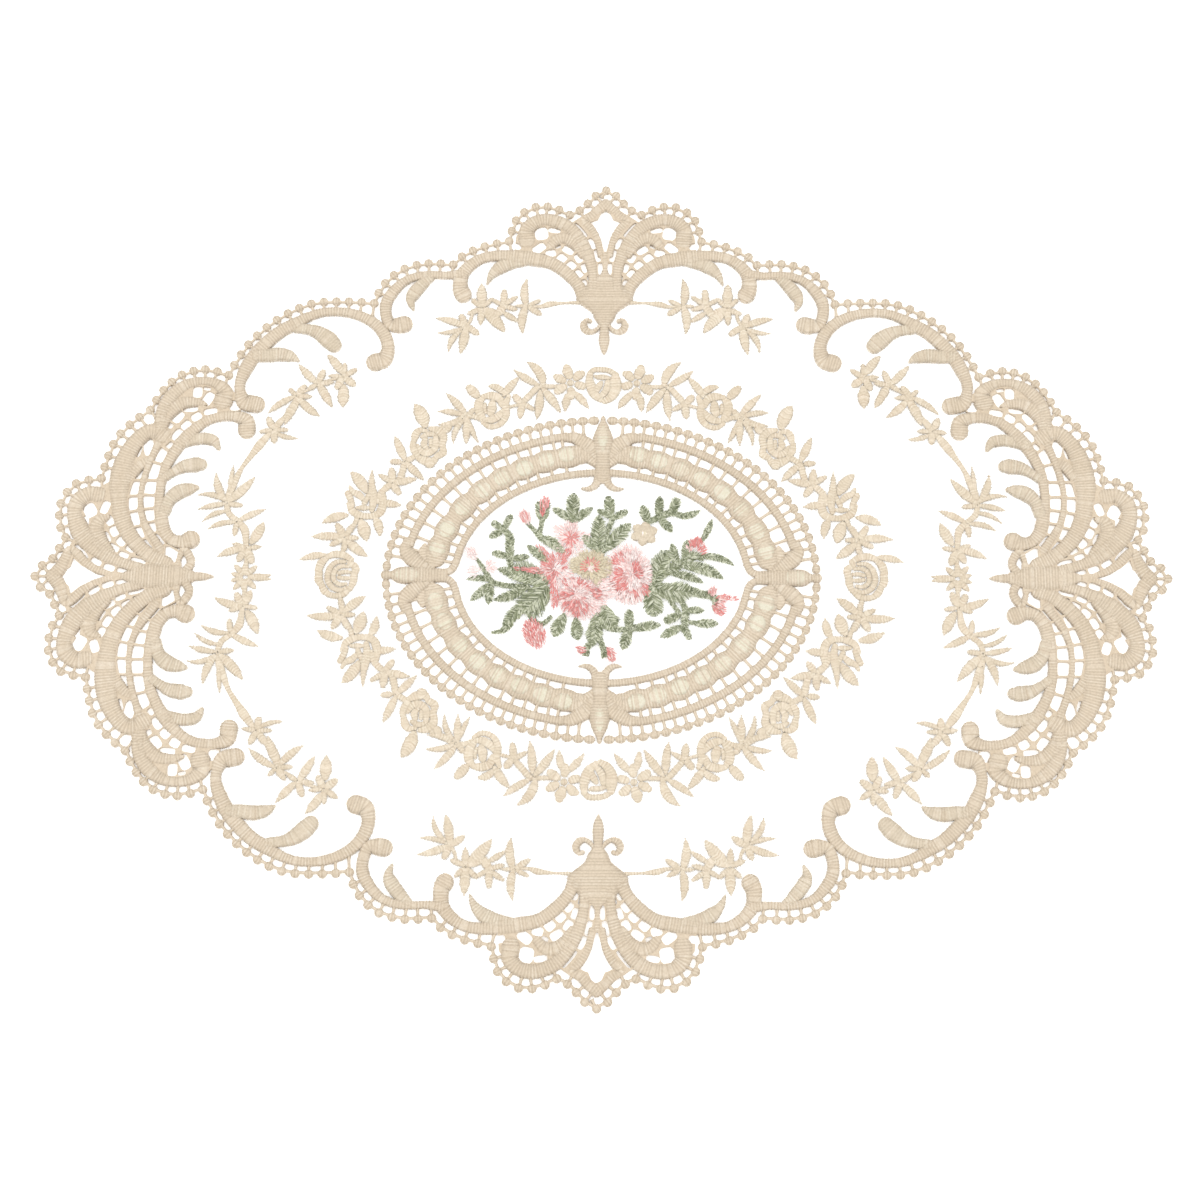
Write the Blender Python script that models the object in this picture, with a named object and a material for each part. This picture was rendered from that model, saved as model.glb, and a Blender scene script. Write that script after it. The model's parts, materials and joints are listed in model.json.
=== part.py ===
"""Lace doily: an oval table mat of sheer net with a scalloped openwork border, an openwork medallion
ring, a raised rose garland, side sprays and a coloured bouquet, lying flat.

The pattern is drawn on a chart of small squares, centred on the mat: x to the right, y to the back.
The border, the garland and the ring are the same in each quarter, so their tables hold one quarter and
are mirrored. Every table row is in chart squares; solids() turns squares into metres.
"""
import heapq
import math
from collections import namedtuple

import bpy
from mathutils import Vector
from mathutils.geometry import delaunay_2d_cdt

# ---------------------------------------------------------------- driving sizes, metres
DOILY_LENGTH = 0.400        # picot tip to picot tip along X
CHART_LENGTH = 1142.0       # the same length in chart squares
SQUARE = DOILY_LENGTH / CHART_LENGTH

NET_THICKNESS = 0.0010      # sheer ground net, lying on the table
LAY_GAP = 0.0003            # between the net and the stitching that lies on it
LACE_TOP = 0.0022           # top of the satin-stitched lace and of the raised motifs
LEAN_X_PER_Y = 0.0116       # the mat lies a little skewed: its back edge leans to the right
LEAN_Y_PER_X = -0.0025

# ---------------------------------------------------------------- chart sizes, squares
PICOT_REACH = 5.2           # how far a picot stands out of the picot line
PICOT_VALLEY = 1.0          # how far the edge draws in between two picots
PICOT_GROUND = 12.5         # depth of the worked edge behind the picot line
RUNG_HALF = 1.1             # half width of a ladder's rung
SHORT_LEAF = 30.0           # leaves shorter than this are kite-shaped
CLEARANCE = 1.0             # plan gap between the net's edge and the lace that laps it
WELD = 0.02                 # points closer than this are one point
LACE_STRAIGHT = 1.2         # a lace point nearer than this to its neighbours' line is left out
MOTIF_STRAIGHT = 1.7        # the same for the garland and the side sprays
BOUQUET_STRAIGHT = 0.9      # the same for the bouquet
STEP_STRAIGHT = 0.1         # the same for the step over the net's edge
SPECK = 14.0                # a patch of ground smaller than this many squares joins its neighbour

Row = namedtuple("Row", "x y width")                            # a station on a band's middle line
Leaf = namedtuple("Leaf", "x y tip_x tip_y width bend")         # bend is to the left of base to tip
Opening = namedtuple("Opening", "x y length width turn")        # turn in degrees from the X axis
Rung = namedtuple("Rung", "x y end_x end_y")
Picots = namedtuple("Picots", "count line")                     # picots spaced evenly along a line
Rose = namedtuple("Rose", "x y across high turn")
Bloom = namedtuple("Bloom", "x y across petals turn")
Ring = namedtuple("Ring", "reach_x reach_y width")              # an oval band's middle line and width


def rows(*stations):
    return [Row(*station) for station in stations]


# ---------------------------------------------------------------- border, one quarter
PICOT_RUNS = [
    Picots(4, [(0, 423), (11.5, 416), (24, 402), (38, 395)]),
    Picots(7, [(38, 395), (55, 403), (73.5, 403.7), (92, 391), (100.5, 364.7)]),
    Picots(5, [(100.5, 364.7), (126, 358.6), (146, 349.5), (158.4, 338)]),
    Picots(8, [(158.4, 338), (184, 339.2), (210, 332.5), (229, 315.5), (239, 294.2)]),
    Picots(14, [(239, 294.2), (265, 296), (303, 293.7), (338, 275.8), (366, 248.4), (385.3, 214.2)]),
    Picots(8, [(385.3, 214.2), (408.4, 220.5), (433, 214.5), (450.5, 197.4), (462.6, 176.3)]),
    Picots(7, [(462.6, 176.3), (481.6, 161), (497, 140), (507.4, 102.5)]),
    Picots(7, [(507.4, 102.5), (532.3, 96.8), (545.8, 75.8), (544, 52), (537.9, 40)]),
    Picots(4, [(537.9, 40), (544.2, 27.4), (550, 17), (560, 10), (565.3, 0)]),
]

FLEUR_BACK = rows((0, 270, 8), (0, 277, 19), (0, 285, 26), (0, 292, 44), (0, 298, 58), (0, 305, 57),
                  (0, 313, 44), (0, 322, 24))
FLEUR_BACK_DROP = rows((0, 275, 7), (0, 262, 9.5), (0, 254, 11), (0, 246, 8), (0, 240, 2.5))
FLEUR_BACK_CURL = rows((3, 273, 3.5), (7, 267, 4), (13, 263.5, 5), (19, 265.5, 7.5), (21.5, 271, 7),
                       (18.5, 276, 5), (14.5, 275.5, 4))
BACK_ARCH = rows((22, 303, 14), (28, 316, 12), (40, 329.5, 13), (56, 340.5, 13), (75, 345, 15),
                 (95, 348, 13), (112, 348.5, 13), (127, 346, 12.5), (140, 338, 12), (149, 326, 14),
                 (150, 312, 16), (147, 305, 18))
BACK_ARCH_FROND = rows((82, 342, 8), (97, 340.5, 13), (109, 335.5, 14), (118, 326.5, 8), (122.5, 316.5, 2))

SMALL_SCALLOP = rows((150, 328, 10), (165, 326.3, 7.5), (180, 326.8, 8), (195, 325, 8.5), (208, 319.5, 9),
                     (218.5, 309, 11), (225.5, 297, 12), (226.5, 285, 11.5), (222, 272, 12),
                     (213, 270.5, 17), (207, 271.5, 18))
SMALL_FROND = rows((181, 324, 8), (189.5, 315.5, 13), (198, 305, 13.5), (201, 297, 9), (198, 288, 2.5))
LONG_SCALLOP = rows((235, 229.5, 19), (226, 233, 17), (222.5, 244, 13), (225, 256, 13), (232, 267, 12),
                    (243, 276, 11), (258, 282.5, 10), (275, 285.3, 9), (292, 284.3, 9), (307, 279, 10),
                    (321, 271, 13), (335, 262.5, 13.5), (348, 250.5, 14), (359, 237.5, 14), (367, 223, 14),
                    (372.5, 208, 11), (372, 196, 11), (367, 186, 17), (355, 183, 18))
LONG_FROND_LEFT = rows((318, 267, 10), (305, 265.5, 11), (294, 261.5, 15), (284, 254, 18), (278.5, 248.5, 16))
LONG_FROND_RIGHT = rows((357, 236, 12), (345, 236.8, 14), (333, 237.8, 14.5), (322, 235.5, 11),
                        (314.5, 231.3, 3))

FLEUR_SIDE = rows((412, 0, 14), (424, 0, 22), (436, 0, 27), (450, 0, 26))
FLEUR_SIDE_DROP = rows((414, 0, 8), (403, 0, 8.5), (394, 0, 6), (388, 0, 2))
FLEUR_SIDE_LOOP = rows((416, 5, 9), (411, 14, 8), (413.5, 22, 8.5), (419, 27, 8), (423, 19, 5), (424, 11, 6))
SIDE_HOOK = rows((389, 187, 20), (388, 197, 16), (398, 205.5, 11), (412, 208, 9))
SIDE_SCROLL = rows((363, 155, 18), (364.5, 165, 16), (375, 169.8, 11), (390, 169.5, 9.5),
                   (403, 165.5, 9.5), (415, 157, 11), (426, 145, 13), (434.5, 132, 11), (441.5, 118, 10),
                   (445.5, 103, 9.5), (446.8, 88, 8.5), (446.3, 75, 9), (443.5, 60, 13), (440, 48, 12.5),
                   (432, 38.5, 12), (422, 36, 14), (413, 38.5, 19))
SIDE_FROND_BACK = rows((430, 141, 12), (418, 144.5, 12), (406, 146, 12), (396, 143.5, 11), (390.5, 135.5, 4))
SIDE_FROND_MIDDLE = rows((442, 105, 9), (434, 110.5, 9), (424, 116, 13), (412, 118, 15.5), (407, 118, 12))
SIDE_FROND_FRONT = rows((441, 68, 12), (437, 80, 13), (428, 88.5, 15.5), (417, 92, 12), (410, 93.3, 5))

BORDER_BANDS = [
    FLEUR_BACK, FLEUR_BACK_DROP, FLEUR_BACK_CURL, BACK_ARCH, BACK_ARCH_FROND, SMALL_SCALLOP, SMALL_FROND,
    LONG_SCALLOP, LONG_FROND_LEFT, LONG_FROND_RIGHT, FLEUR_SIDE, FLEUR_SIDE_DROP, FLEUR_SIDE_LOOP,
    SIDE_HOOK, SIDE_SCROLL, SIDE_FROND_BACK, SIDE_FROND_MIDDLE, SIDE_FROND_FRONT,
]

# worked grounds that fill the end fans behind their openings
BACK_FAN = [(0, 312), (26, 312), (45, 338), (63, 350), (95, 352), (94, 372), (78, 396), (58, 398),
            (40, 391), (26, 396), (12, 408), (0, 416)]
SIDE_FAN = [(420, 0), (421, 26), (437, 34), (447, 60), (448, 100), (440, 133), (425, 148), (405, 163),
            (385, 173), (370, 176), (374, 192), (386, 203), (410, 210), (437, 204), (456, 180), (480, 156),
            (496, 132), (504, 98), (530, 92), (540, 76), (540, 56), (534, 40), (543, 22), (556, 5), (556, 0)]

STAR_BACK = [(0, 401), (5, 397), (8, 390), (12, 388.7), (17, 386), (8, 374), (3.5, 361), (0, 349)]
STAR_SIDE = [(495, 0), (508, 5), (520, 11), (529, 19), (531.5, 10), (538, 5), (541, 0)]
SIDE_WINDOW = [(423.5, 25), (434, 31.5), (437.5, 30), (437.5, 22), (434, 14.5), (426, 14)]

BACK_FAN_OPENINGS = [
    Opening(8.2, 348.5, 13.5, 4.5, 76), Opening(14, 362.2, 12.5, 5, 62), Opening(26, 377.5, 19, 4, 50),
    Opening(53.5, 377.3, 12, 5.5, 8), Opening(67, 373.7, 14, 13, 80), Opening(69, 357, 14, 9, -38),
    Opening(38.5, 355, 12, 8, 30), Opening(45.5, 345.7, 11.5, 10, 42), Opening(35.5, 337.5, 11.5, 10.5, 45),
    Opening(235.5, 283, 14, 6, -68),
]
SIDE_FAN_OPENINGS = [
    # the small wheel at the back of the fan
    Opening(404.5, 188.5, 14, 8.5, -60), Opening(401, 175, 12, 5.5, -10), Opening(421.5, 178, 14, 5.5, -4),
    Opening(434.5, 169.5, 12, 10, -55), Opening(433.5, 149.7, 12, 7, -52), Opening(461.5, 136.5, 17, 9, 78),
    # the wing: lobes and net cells
    Opening(501, 72, 13, 8, -70), Opening(516, 69, 14.5, 11.5, 60), Opening(497.5, 40.2, 11.5, 6.5, 60),
    Opening(489.5, 29.5, 11.5, 6, 28), Opening(463.5, 16, 15, 4, 14),
    # the slits beside the end star
    Opening(477.5, 5.8, 13, 4.2, 8), Opening(492.3, 8.8, 11.5, 6, 18), Opening(505.5, 15, 11.5, 6, 40),
    Opening(521, 25.5, 19, 4, 50),
]
LADDERS = [
    [Rung(441, 132, 449, 138), Rung(447, 118, 458, 121), Rung(450.5, 101, 462, 101),
     Rung(451.5, 85, 464, 85.5), Rung(451.5, 71.5, 463.5, 70), Rung(449.8, 57.5, 459, 56),
     Rung(447, 45.5, 454.5, 43.5), Rung(437, 33, 443, 30)],
    [Rung(463.5, 117, 466, 117), Rung(467, 101, 474.5, 101), Rung(468.5, 84.5, 478.5, 84),
     Rung(468, 69, 477, 67), Rung(463.5, 53, 471, 51), Rung(458, 39.5, 463, 38), Rung(449, 28, 454.5, 29)],
]

# the net's outer edge, hidden under the lace that laps it
NET_EDGE = [(0, 292), (24, 304), (44, 334), (75, 344.5), (112, 348), (150, 327), (180, 326.8), (208, 320),
            (226, 297), (228, 266), (248, 279), (275, 285), (305, 279.5), (335, 262.5), (360, 236),
            (373, 206), (372, 170), (400, 166.5), (436, 129), (447, 82), (440, 48), (416, 28), (411, 0)]

# ---------------------------------------------------------------- sprays at the back and front fleurs
BACK_SPRAY_STEMS = [
    rows((25, 297, 5), (40, 295.7, 2.8), (50, 295, 4.5), (58, 294, 6.5), (66, 291.5, 4.5), (76, 291.5, 3.5),
         (84, 292, 3.5), (96, 290, 4), (106, 290, 6), (116, 288, 5), (127, 289, 5)),
    rows((128, 286, 3.5), (136, 284, 3.5), (139, 277, 3.5), (143, 269, 4.5)),
]
BACK_SPRAY = [
    Leaf(80, 290, 82, 322, 9, -2.5), Leaf(80, 294, 83, 262, 9.5, 0),
   
    Leaf(105, 289, 104, 311, 8, 0), Leaf(105, 291, 90, 303, 6.5, 0), Leaf(106, 290, 88, 274, 8, 0),
    Leaf(127, 288, 128, 317, 11, 0),
    Leaf(127, 291, 128, 271, 8, 0), Leaf(126, 289, 103, 263, 12.5, 3),
    Leaf(143, 270, 129, 260, 8, 0), Leaf(143, 272, 148, 239, 10, 0), Leaf(144, 266, 160, 241, 7, 2),
    Leaf(141, 269, 174, 278, 8, 2), Leaf(142, 269, 172, 262, 6, -2),
]

# ---------------------------------------------------------------- side sprays, one quarter
SIDE_SPRAY_STEMS = [
    rows((268, 214, 5), (283, 211, 5), (294, 206, 5), (304, 201, 5), (315, 193, 6), (320, 178, 7),
         (327, 168, 5.5), (337, 156, 5), (349, 141, 9), (358, 128, 6), (366, 116, 4.5), (371, 105, 6.5),
         (376, 92, 8), (379, 78, 7), (377, 67, 6), (368, 58, 6), (360, 50, 8), (358, 38, 6), (357, 28, 6),
         (357, 12, 5)),
]
SIDE_SPRAY = [
    Leaf(268, 214, 254, 223, 7, 0),
    Leaf(267, 212, 285, 238, 10, -3.5), Leaf(267, 213, 267, 181, 12.5, 0),
    Leaf(294, 206, 288, 222, 8, 0), Leaf(293, 206, 315, 229, 9, -2), Leaf(294, 208, 278, 181, 10, 0),
    Leaf(313, 192, 343, 174, 8.5, 3),
    Leaf(314, 194, 290, 171, 9, 2),
    Leaf(337, 156, 321, 157, 6, 0), Leaf(338, 154, 311, 147, 7, 1.4),
    Leaf(379, 78, 353, 105, 11.5, 1.5), Leaf(376, 90, 375, 118, 7, 0), Leaf(378, 76, 392, 109, 9, -1),
    Leaf(377, 78, 409, 86, 7, 3.5), Leaf(377, 77, 408, 71, 7.5, 1),
    Leaf(376, 69, 403, 58, 7, 3),
    Leaf(370, 57, 340, 71, 9, 0), Leaf(366, 57, 397, 50, 7.5, 3),
    Leaf(357, 30, 341, 58, 13, 1.5), Leaf(356, 30, 386, 21, 9, 2),
    Leaf(358, 31, 350, 14, 9, 0),
]
SIDE_BLOOM = Bloom(355, 0, 26, 8, 0)
SIDE_BLOOM_STALK = rows((330, 0, 7), (342, 0, 7), (350, 0, 9))

# ---------------------------------------------------------------- garland, one quarter
GARLAND_STEMS = [
    rows((12, 206, 6), (28, 206, 6)),
    rows((44, 204, 5), (56, 204, 5.5), (65, 204, 7), (75, 195, 7.5), (83, 186, 7), (90, 183, 4.5), (104, 181, 4.5)),
    rows((122, 166, 5), (131, 170, 6), (140, 171, 8), (152, 165, 6), (168, 157, 6)),
    rows((187, 131, 7), (194, 125, 6.5), (200, 121, 8), (204, 110, 7.5), (207, 101, 7.5), (214, 97, 7.5),
         (222, 90, 8), (226, 80, 9)),
    rows((246, 63, 7), (250, 54, 6), (257, 41, 6), (259, 32, 6), (261, 22, 6)),
]
GARLAND_LEAVES = [
    Leaf(33, 205, 15, 180, 9, -1), Leaf(35, 205, 39, 177, 9, 1),
    Leaf(62, 203, 79, 231, 11, 5), Leaf(65, 204, 92, 222, 9, -1), Leaf(65, 205, 44, 176, 9.5, -1),
    Leaf(65, 204, 68, 168, 10, -1),
    Leaf(103, 189, 87, 214, 10, 1.5), Leaf(102, 192, 118, 204, 8, 3), Leaf(124, 187, 140, 205, 11, 0),
    Leaf(139, 171, 161, 196, 9, 1), Leaf(140, 171, 169, 176, 8, 2), Leaf(139, 173, 127, 143, 8, 1),
    Leaf(139, 173, 139, 141, 9, 0), Leaf(140, 172, 152, 141, 8, 4),
    Leaf(180, 153, 192, 184, 14, 0),
    Leaf(200, 120, 212, 149, 10, 2), Leaf(203, 125, 181, 102, 9, 0),
    Leaf(211, 97, 227, 108, 8, 0), Leaf(214, 97, 188, 103, 8.5, -1),
    Leaf(230, 77, 203, 75, 8.5, 0), Leaf(236, 72, 231, 116, 10, -1), Leaf(243, 76, 257, 112, 15, 2),
    Leaf(250, 65, 281, 56, 11, 2), Leaf(231, 68, 223, 42, 10, -2), Leaf(244, 66, 236, 37, 13.5, -1),
    Leaf(256, 39, 292, 41, 10, 1),
    Leaf(258, 41, 235, 21, 10.5, 1),
]
GARLAND_ROSES = [Rose(0, 205, 36, 40, 0), Rose(115, 180, 35, 41, 0), Rose(178, 141, 38, 41, 0),
                 Rose(241, 77, 36, 34, 0), Rose(264, 0, 44, 54, 0)]
ROSE_POINTS = 12
BUD_POINTS = 8
GARLAND_BLOOM = Bloom(34, 208, 32, 6, 20)
SIDE_ROSE_LEAF = Leaf(274, 20, 303, 17, 9, 1.5)     # only on the back side of the two end roses

# ---------------------------------------------------------------- medallion ring, one quarter
PICOT_LINE = Ring(215.0, 166.0, 11.0)
OUTER_BAND = Ring(197.0, 150.5, 8.5)
BEAD_BAND = Ring(171.2, 129.6, 18.5)
INNER_BAND = Ring(146.5, 108.0, 7.0)
RING_POINTS = 24                    # on the hidden ovals under the lapped edges
EDGE_POINTS = 48                    # on the ovals that show
RING_CELLS = 11                     # middle ladder, in a quarter
RING_CELL_FIRST = 15.5              # degrees of the oval's angle, from the back, where the ladder starts
RING_CELL_LAST = 75.5
EDGE_CELLS = 5                      # outer ladder cells that are wide enough to be open
EDGE_CELL_FIRST = 61.0
EDGE_CELL_LAST = 80.5
RING_LAP = -2.0                     # the field net's inner edge, from the picot line
RING_RUNG = 0.17                    # a rung's share of the ladder's pitch
RING_CURL = rows((2, 107, 8), (4, 99, 7), (10, 94.5, 6), (17, 93, 4.5), (21, 94, 2.5))

# ---------------------------------------------------------------- bouquet, whole
BOUQUET_STEMS = [
    rows((-43, 32, 7), (-52, 36, 8), (-62, 43, 7), (-67, 49, 5), (-75, 57, 4.5)),
    rows((-63, 44, 5.5), (-61, 54, 5), (-60, 64, 7)),
    rows((0, 27, 9), (4, 45, 7), (10, 60, 6), (9, 68, 6)),
    rows((45, 58, 6), (54, 62, 7), (62, 66, 8), (70, 68, 7), (80, 66, 5)),
    rows((52, -9, 12), (59, 3, 12), (70, 10, 12), (80, 15, 10), (92, 23, 11), (99, 22, 7)),
    rows((64, -14, 7), (70, -26, 6), (77, -36, 7), (80, -44, 7), (80, -53, 6)),
    rows((-3, -44, 7), (6, -51, 6), (16, -53, 6), (28, -53, 7), (36, -51, 7)),
    rows((-3, -54, 8), (0, -65, 6), (3, -73, 8), (4, -77, 9)),
    rows((-5, -64, 7), (-13, -71, 8), (-14, -76, 8)),
    rows((-74, -10, 8), (-88, -9, 6), (-101, -7, 6), (-110, -3, 6), (-117, 8, 5), (-125, 20, 3.5)),
    rows((-86, 4, 8), (-91, 14, 7), (-92, 30, 10), (-93, 44, 8), (-99, 50, 7)),
    rows((84, -12, 10), (98, -16, 9), (108, -18, 8), (114, -22, 10), (115, -28, 10)),
]
BOUQUET_LEAVES = [
    Leaf(-30, 58, -29, 89, 15, 0), Leaf(-29, 60, -50, 73, 9, 0), Leaf(-31, 58, -9, 74, 9.5, 0),
    Leaf(-4, 26, -3, 66, 16, 0), Leaf(-3, 28, -19, 44, 11, 0), Leaf(1, 28, 29, 57, 16, 0),
    Leaf(9, 62, 6, 86, 12, 0), Leaf(11, 63, -5, 71, 7, 0), Leaf(9, 62, 26, 70, 8, 0),
    Leaf(47, 57, 40, 76, 11, 0), Leaf(57, 63, 58, 86, 10, 0), Leaf(69, 66, 76, 84, 11, 0),
    Leaf(74, 66, 99, 71, 8, -3), Leaf(57, 64, 71, 48, 10, 0),
    Leaf(54, -4, 68, 28, 20, 3), Leaf(76, 11, 70, 36, 10, 0), Leaf(83, 16, 86, 40, 10, 0),
    Leaf(96, 22, 133, 13, 8, 4), Leaf(78, 13, 122, -1, 13, 4), Leaf(68, 5, 102, -5, 9, 2),
    Leaf(52, -9, 92, -13, 22, -3), Leaf(51, -10, 52, -44, 20, 0),
    Leaf(78, -33, 103, -33, 8, 0), Leaf(80, -37, 63, -45, 10, 0), Leaf(80, -46, 117, -47, 10, 0),
    Leaf(81, -49, 59, -61, 10, 0), Leaf(80, -49, 88, -64, 9, 0),
    Leaf(3, -28, 16, -50, 19, -3), Leaf(28, -55, 28, -32, 11, 0), Leaf(29, -50, 22, -74, 12, 0),
    Leaf(31, -52, 58, -48, 13, 0), Leaf(-3, -36, -8, -70, 17, 0), Leaf(2, -40, -4, -50, 10, 0),
    Leaf(-42, -40, -46, -61, 15, 0), Leaf(-25, -44, -24, -64, 14, 0),
    Leaf(-53, -6, -91, 8, 24, -2), Leaf(-54, -8, -76, -37, 30, 0), Leaf(-74, -10, -107, -23, 11, 2),
    Leaf(-70, -6, -104, 9, 12, -2), Leaf(-108, -3, -135, -2, 7, -2), Leaf(-107, -4, -130, -24, 10, 0),
    Leaf(-110, -3, -112, -28, 10, 0), Leaf(-66, -26, -108, -56, 15, -6), Leaf(-70, -30, -50, -35, 8, 5),
    Leaf(-99, 51, -111, 58, 8, 0), Leaf(-99, 50, -91, 66, 8, 0), Leaf(-98, 50, -113, 42, 8, 0),
    Leaf(-92, 22, -110, 26, 8, 0), Leaf(-92, 19, -72, 22, 8, 0), Leaf(-60, 60, -60, 80, 17, 0),
]
BOUQUET_ROSES = [
    Rose(-27, -20, 46, 46, 0), Rose(25, 3, 52, 62, 0), Rose(-45, 14, 30, 33, 0), Rose(-32, 40, 32, 35, 0),
    Rose(-11, 13, 42, 36, 0),
]
BOUQUET_BUDS = [
    Rose(-66, -58, 24, 32, 15), Rose(41, 46, 25, 28, 0), Rose(-57, 81, 10, 13, 0), Rose(-80, 65, 11, 17, 20),
    Rose(12, -81, 10, 17, 15), Rose(-23, -74, 9, 9, 0), Rose(95, 35, 18, 13, 0), Rose(126, -22, 12, 9, 0),
]
BOUQUET_GAP = 2.1           # plan gap between the roses and the leaves round them

# ---------------------------------------------------------------- outlines


def smooth(points, steps):
    """A smooth line through the points; each point may carry a width."""
    line = []
    last = len(points) - 1
    for i in range(last):
        before = points[i - 1] if i > 0 else [2 * a - b for a, b in zip(points[0], points[1])]
        after = points[i + 2] if i + 2 <= last else [2 * a - b for a, b in zip(points[last], points[last - 1])]
        for step in range(steps):
            t = step / steps
            line.append(tuple(
                b + 0.5 * t * (c - a + t * (2 * a - 5 * b + 4 * c - d + t * (3 * (b - c) + d - a)))
                for a, b, c, d in zip(before, points[i], points[i + 1], after)))
    line.append(tuple(points[last]))
    return line


def headings(line):
    """The direction of the line at each of its points, as a unit vector."""
    found = []
    for i in range(len(line)):
        start, end = line[max(i - 1, 0)], line[min(i + 1, len(line) - 1)]
        across, up = end[0] - start[0], end[1] - start[1]
        length = math.hypot(across, up)
        found.append((across / length, up / length))
    return found


def sides(line):
    """The left and right edges of a line whose points carry a width."""
    turns = headings(line)
    left = [(x - v * w / 2, y + u * w / 2) for (x, y, w), (u, v) in zip(line, turns)]
    right = [(x + v * w / 2, y - u * w / 2) for (x, y, w), (u, v) in zip(line, turns)]
    return left, right


def round_end(end, heading, points):
    """The arc that closes a band's end, from its left edge to its right one."""
    x, y, width = end
    first = math.atan2(heading[1], heading[0]) + math.pi / 2
    return [(x + width / 2 * math.cos(first - math.pi * k / (points + 1)),
             y + width / 2 * math.sin(first - math.pi * k / (points + 1))) for k in range(1, points + 1)]


def band(stations, steps=2, end_points=2):
    """The outline of a satin band: a smooth run of changing width with rounded ends."""
    line = smooth(stations, steps)
    left, right = sides(line)
    turns = headings(line)
    back = (-turns[0][0], -turns[0][1])
    far = round_end(line[-1], turns[-1], end_points if line[-1][2] > 6 else 1)
    near = round_end(line[0], back, end_points if line[0][2] > 6 else 1)
    return left + far + right[::-1] + near


def leaf(row):
    """The outline of a leaf or a long petal, from its narrow base to its point."""
    run, rise = row.tip_x - row.x, row.tip_y - row.y
    length = math.hypot(run, rise)
    steps = 2 if length < SHORT_LEAF else 3
    line = []
    for i in range(steps + 1):
        t = i / steps
        sag = 4 * row.bend * t * (1 - t)
        width = row.width * (0.25 * (1 - t) + 1.02 * math.sin(math.pi * t ** 0.8) ** 0.85)
        line.append((row.x + run * t - rise / length * sag, row.y + rise * t + run / length * sag, width))
    left, right = sides(line)
    return left[:-1] + [line[-1][:2]] + right[-2::-1]


def oval(row, points, grow=0.0):
    """The outline of a rose or a bud."""
    turn = math.radians(row.turn)
    outline = []
    for k in range(points):
        angle = 2 * math.pi * k / points
        x = (row.across / 2 + grow) * math.cos(angle)
        y = (row.high / 2 + grow) * math.sin(angle)
        outline.append((row.x + x * math.cos(turn) - y * math.sin(turn),
                        row.y + x * math.sin(turn) + y * math.cos(turn)))
    return outline


def bloom(row):
    """The outline of an open flower: a point on each petal and one between two petals."""
    outline = []
    for k in range(row.petals):
        for share, reach in ((0.0, 0.52), (0.5, 0.4)):
            angle = math.radians(row.turn) + 2 * math.pi * (k + share) / row.petals
            outline.append((row.x + row.across * reach * math.cos(angle),
                            row.y + row.across * reach * math.sin(angle)))
    return outline


def opening(row):
    """The four corners of an opening."""
    turn = math.radians(row.turn)
    corners = [(-0.43, -0.43), (0.43, -0.43), (0.43, 0.43), (-0.43, 0.43)]
    return [(row.x + a * row.length * math.cos(turn) - b * row.width * math.sin(turn),
             row.y + a * row.length * math.sin(turn) + b * row.width * math.cos(turn)) for a, b in corners]


def ladder_cells(rungs):
    """The openings between the rungs of a ladder."""
    cells = []
    for low, high in zip(rungs, rungs[1:]):
        reach = math.dist((low.x, low.y), (high.x, high.y))
        far = math.dist((low.end_x, low.end_y), (high.end_x, high.end_y))
        near_trim, far_trim = RUNG_HALF / reach, RUNG_HALF / far
        cells.append([between((low.x, low.y), (high.x, high.y), near_trim),
                      between((low.end_x, low.end_y), (high.end_x, high.end_y), far_trim),
                      between((high.end_x, high.end_y), (low.end_x, low.end_y), far_trim),
                      between((high.x, high.y), (low.x, low.y), near_trim)])
    return cells


def between(start, end, share):
    return start[0] + (end[0] - start[0]) * share, start[1] + (end[1] - start[1]) * share


def ring_point(ring, degrees, outward=0.0):
    """A point on an oval; the angle is counted from the back, Y, towards the side, X."""
    angle = math.radians(degrees)
    return (ring.reach_x + outward) * math.sin(angle), (ring.reach_y + outward) * math.cos(angle)


def ring_outline(ring, outward, points=RING_POINTS):
    return [ring_point(ring, 360.0 * k / points, outward) for k in range(points)]


def ring_cells(outer, inner, count, first, last):
    """The openings of a ladder between two oval bands."""
    cells = []
    pitch = (last - first) / count
    for k in range(count):
        low = first + pitch * (k + RING_RUNG / 2)
        high = first + pitch * (k + 1 - RING_RUNG / 2)
        top, bottom = -outer.width / 2, inner.width / 2
        cells.append([ring_point(outer, low, top), ring_point(outer, high, top),
                      ring_point(inner, high, bottom), ring_point(inner, low, bottom)])
    return cells


def picot_edge():
    """The picot line of one quarter: its picots, each with a heading, from the back to the side."""
    spots = []
    for run in PICOT_RUNS:
        line = smooth(run.line, 8)
        turns = headings(line)
        reached = [0.0]
        for start, end in zip(line, line[1:]):
            reached.append(reached[-1] + math.dist(start, end))
        for k in range(run.count * 2):
            goal = reached[-1] * k / (run.count * 2)
            i = max(j for j, length in enumerate(reached[:-1]) if length <= goal)
            share = (goal - reached[i]) / (reached[i + 1] - reached[i])
            spots.append((between(line[i], line[i + 1], share), turns[i], k % 2 == 0))
    return spots


def quarter_edge(spots):
    """The scalloped outer edge of one quarter, with a point for each picot and each gap between two."""
    edge = []
    for (x, y), (u, v), on_picot in spots:
        reach = PICOT_REACH if on_picot else -PICOT_VALLEY
        edge.append((x - v * reach, y + u * reach))
    return edge


def mirrored(outline, flip_x, flip_y):
    return [(-x if flip_x else x, -y if flip_y else y) for x, y in outline]


def quarters(outlines):
    """Each outline of one quarter in all four quarters."""
    return [mirrored(outline, flip_x, flip_y)
            for outline in outlines for flip_x in (False, True) for flip_y in (False, True)]


def halves(outlines):
    """Each outline of the back right quarter mirrored to the front right one."""
    return [mirrored(outline, False, flip_y) for outline in outlines for flip_y in (False, True)]


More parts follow.
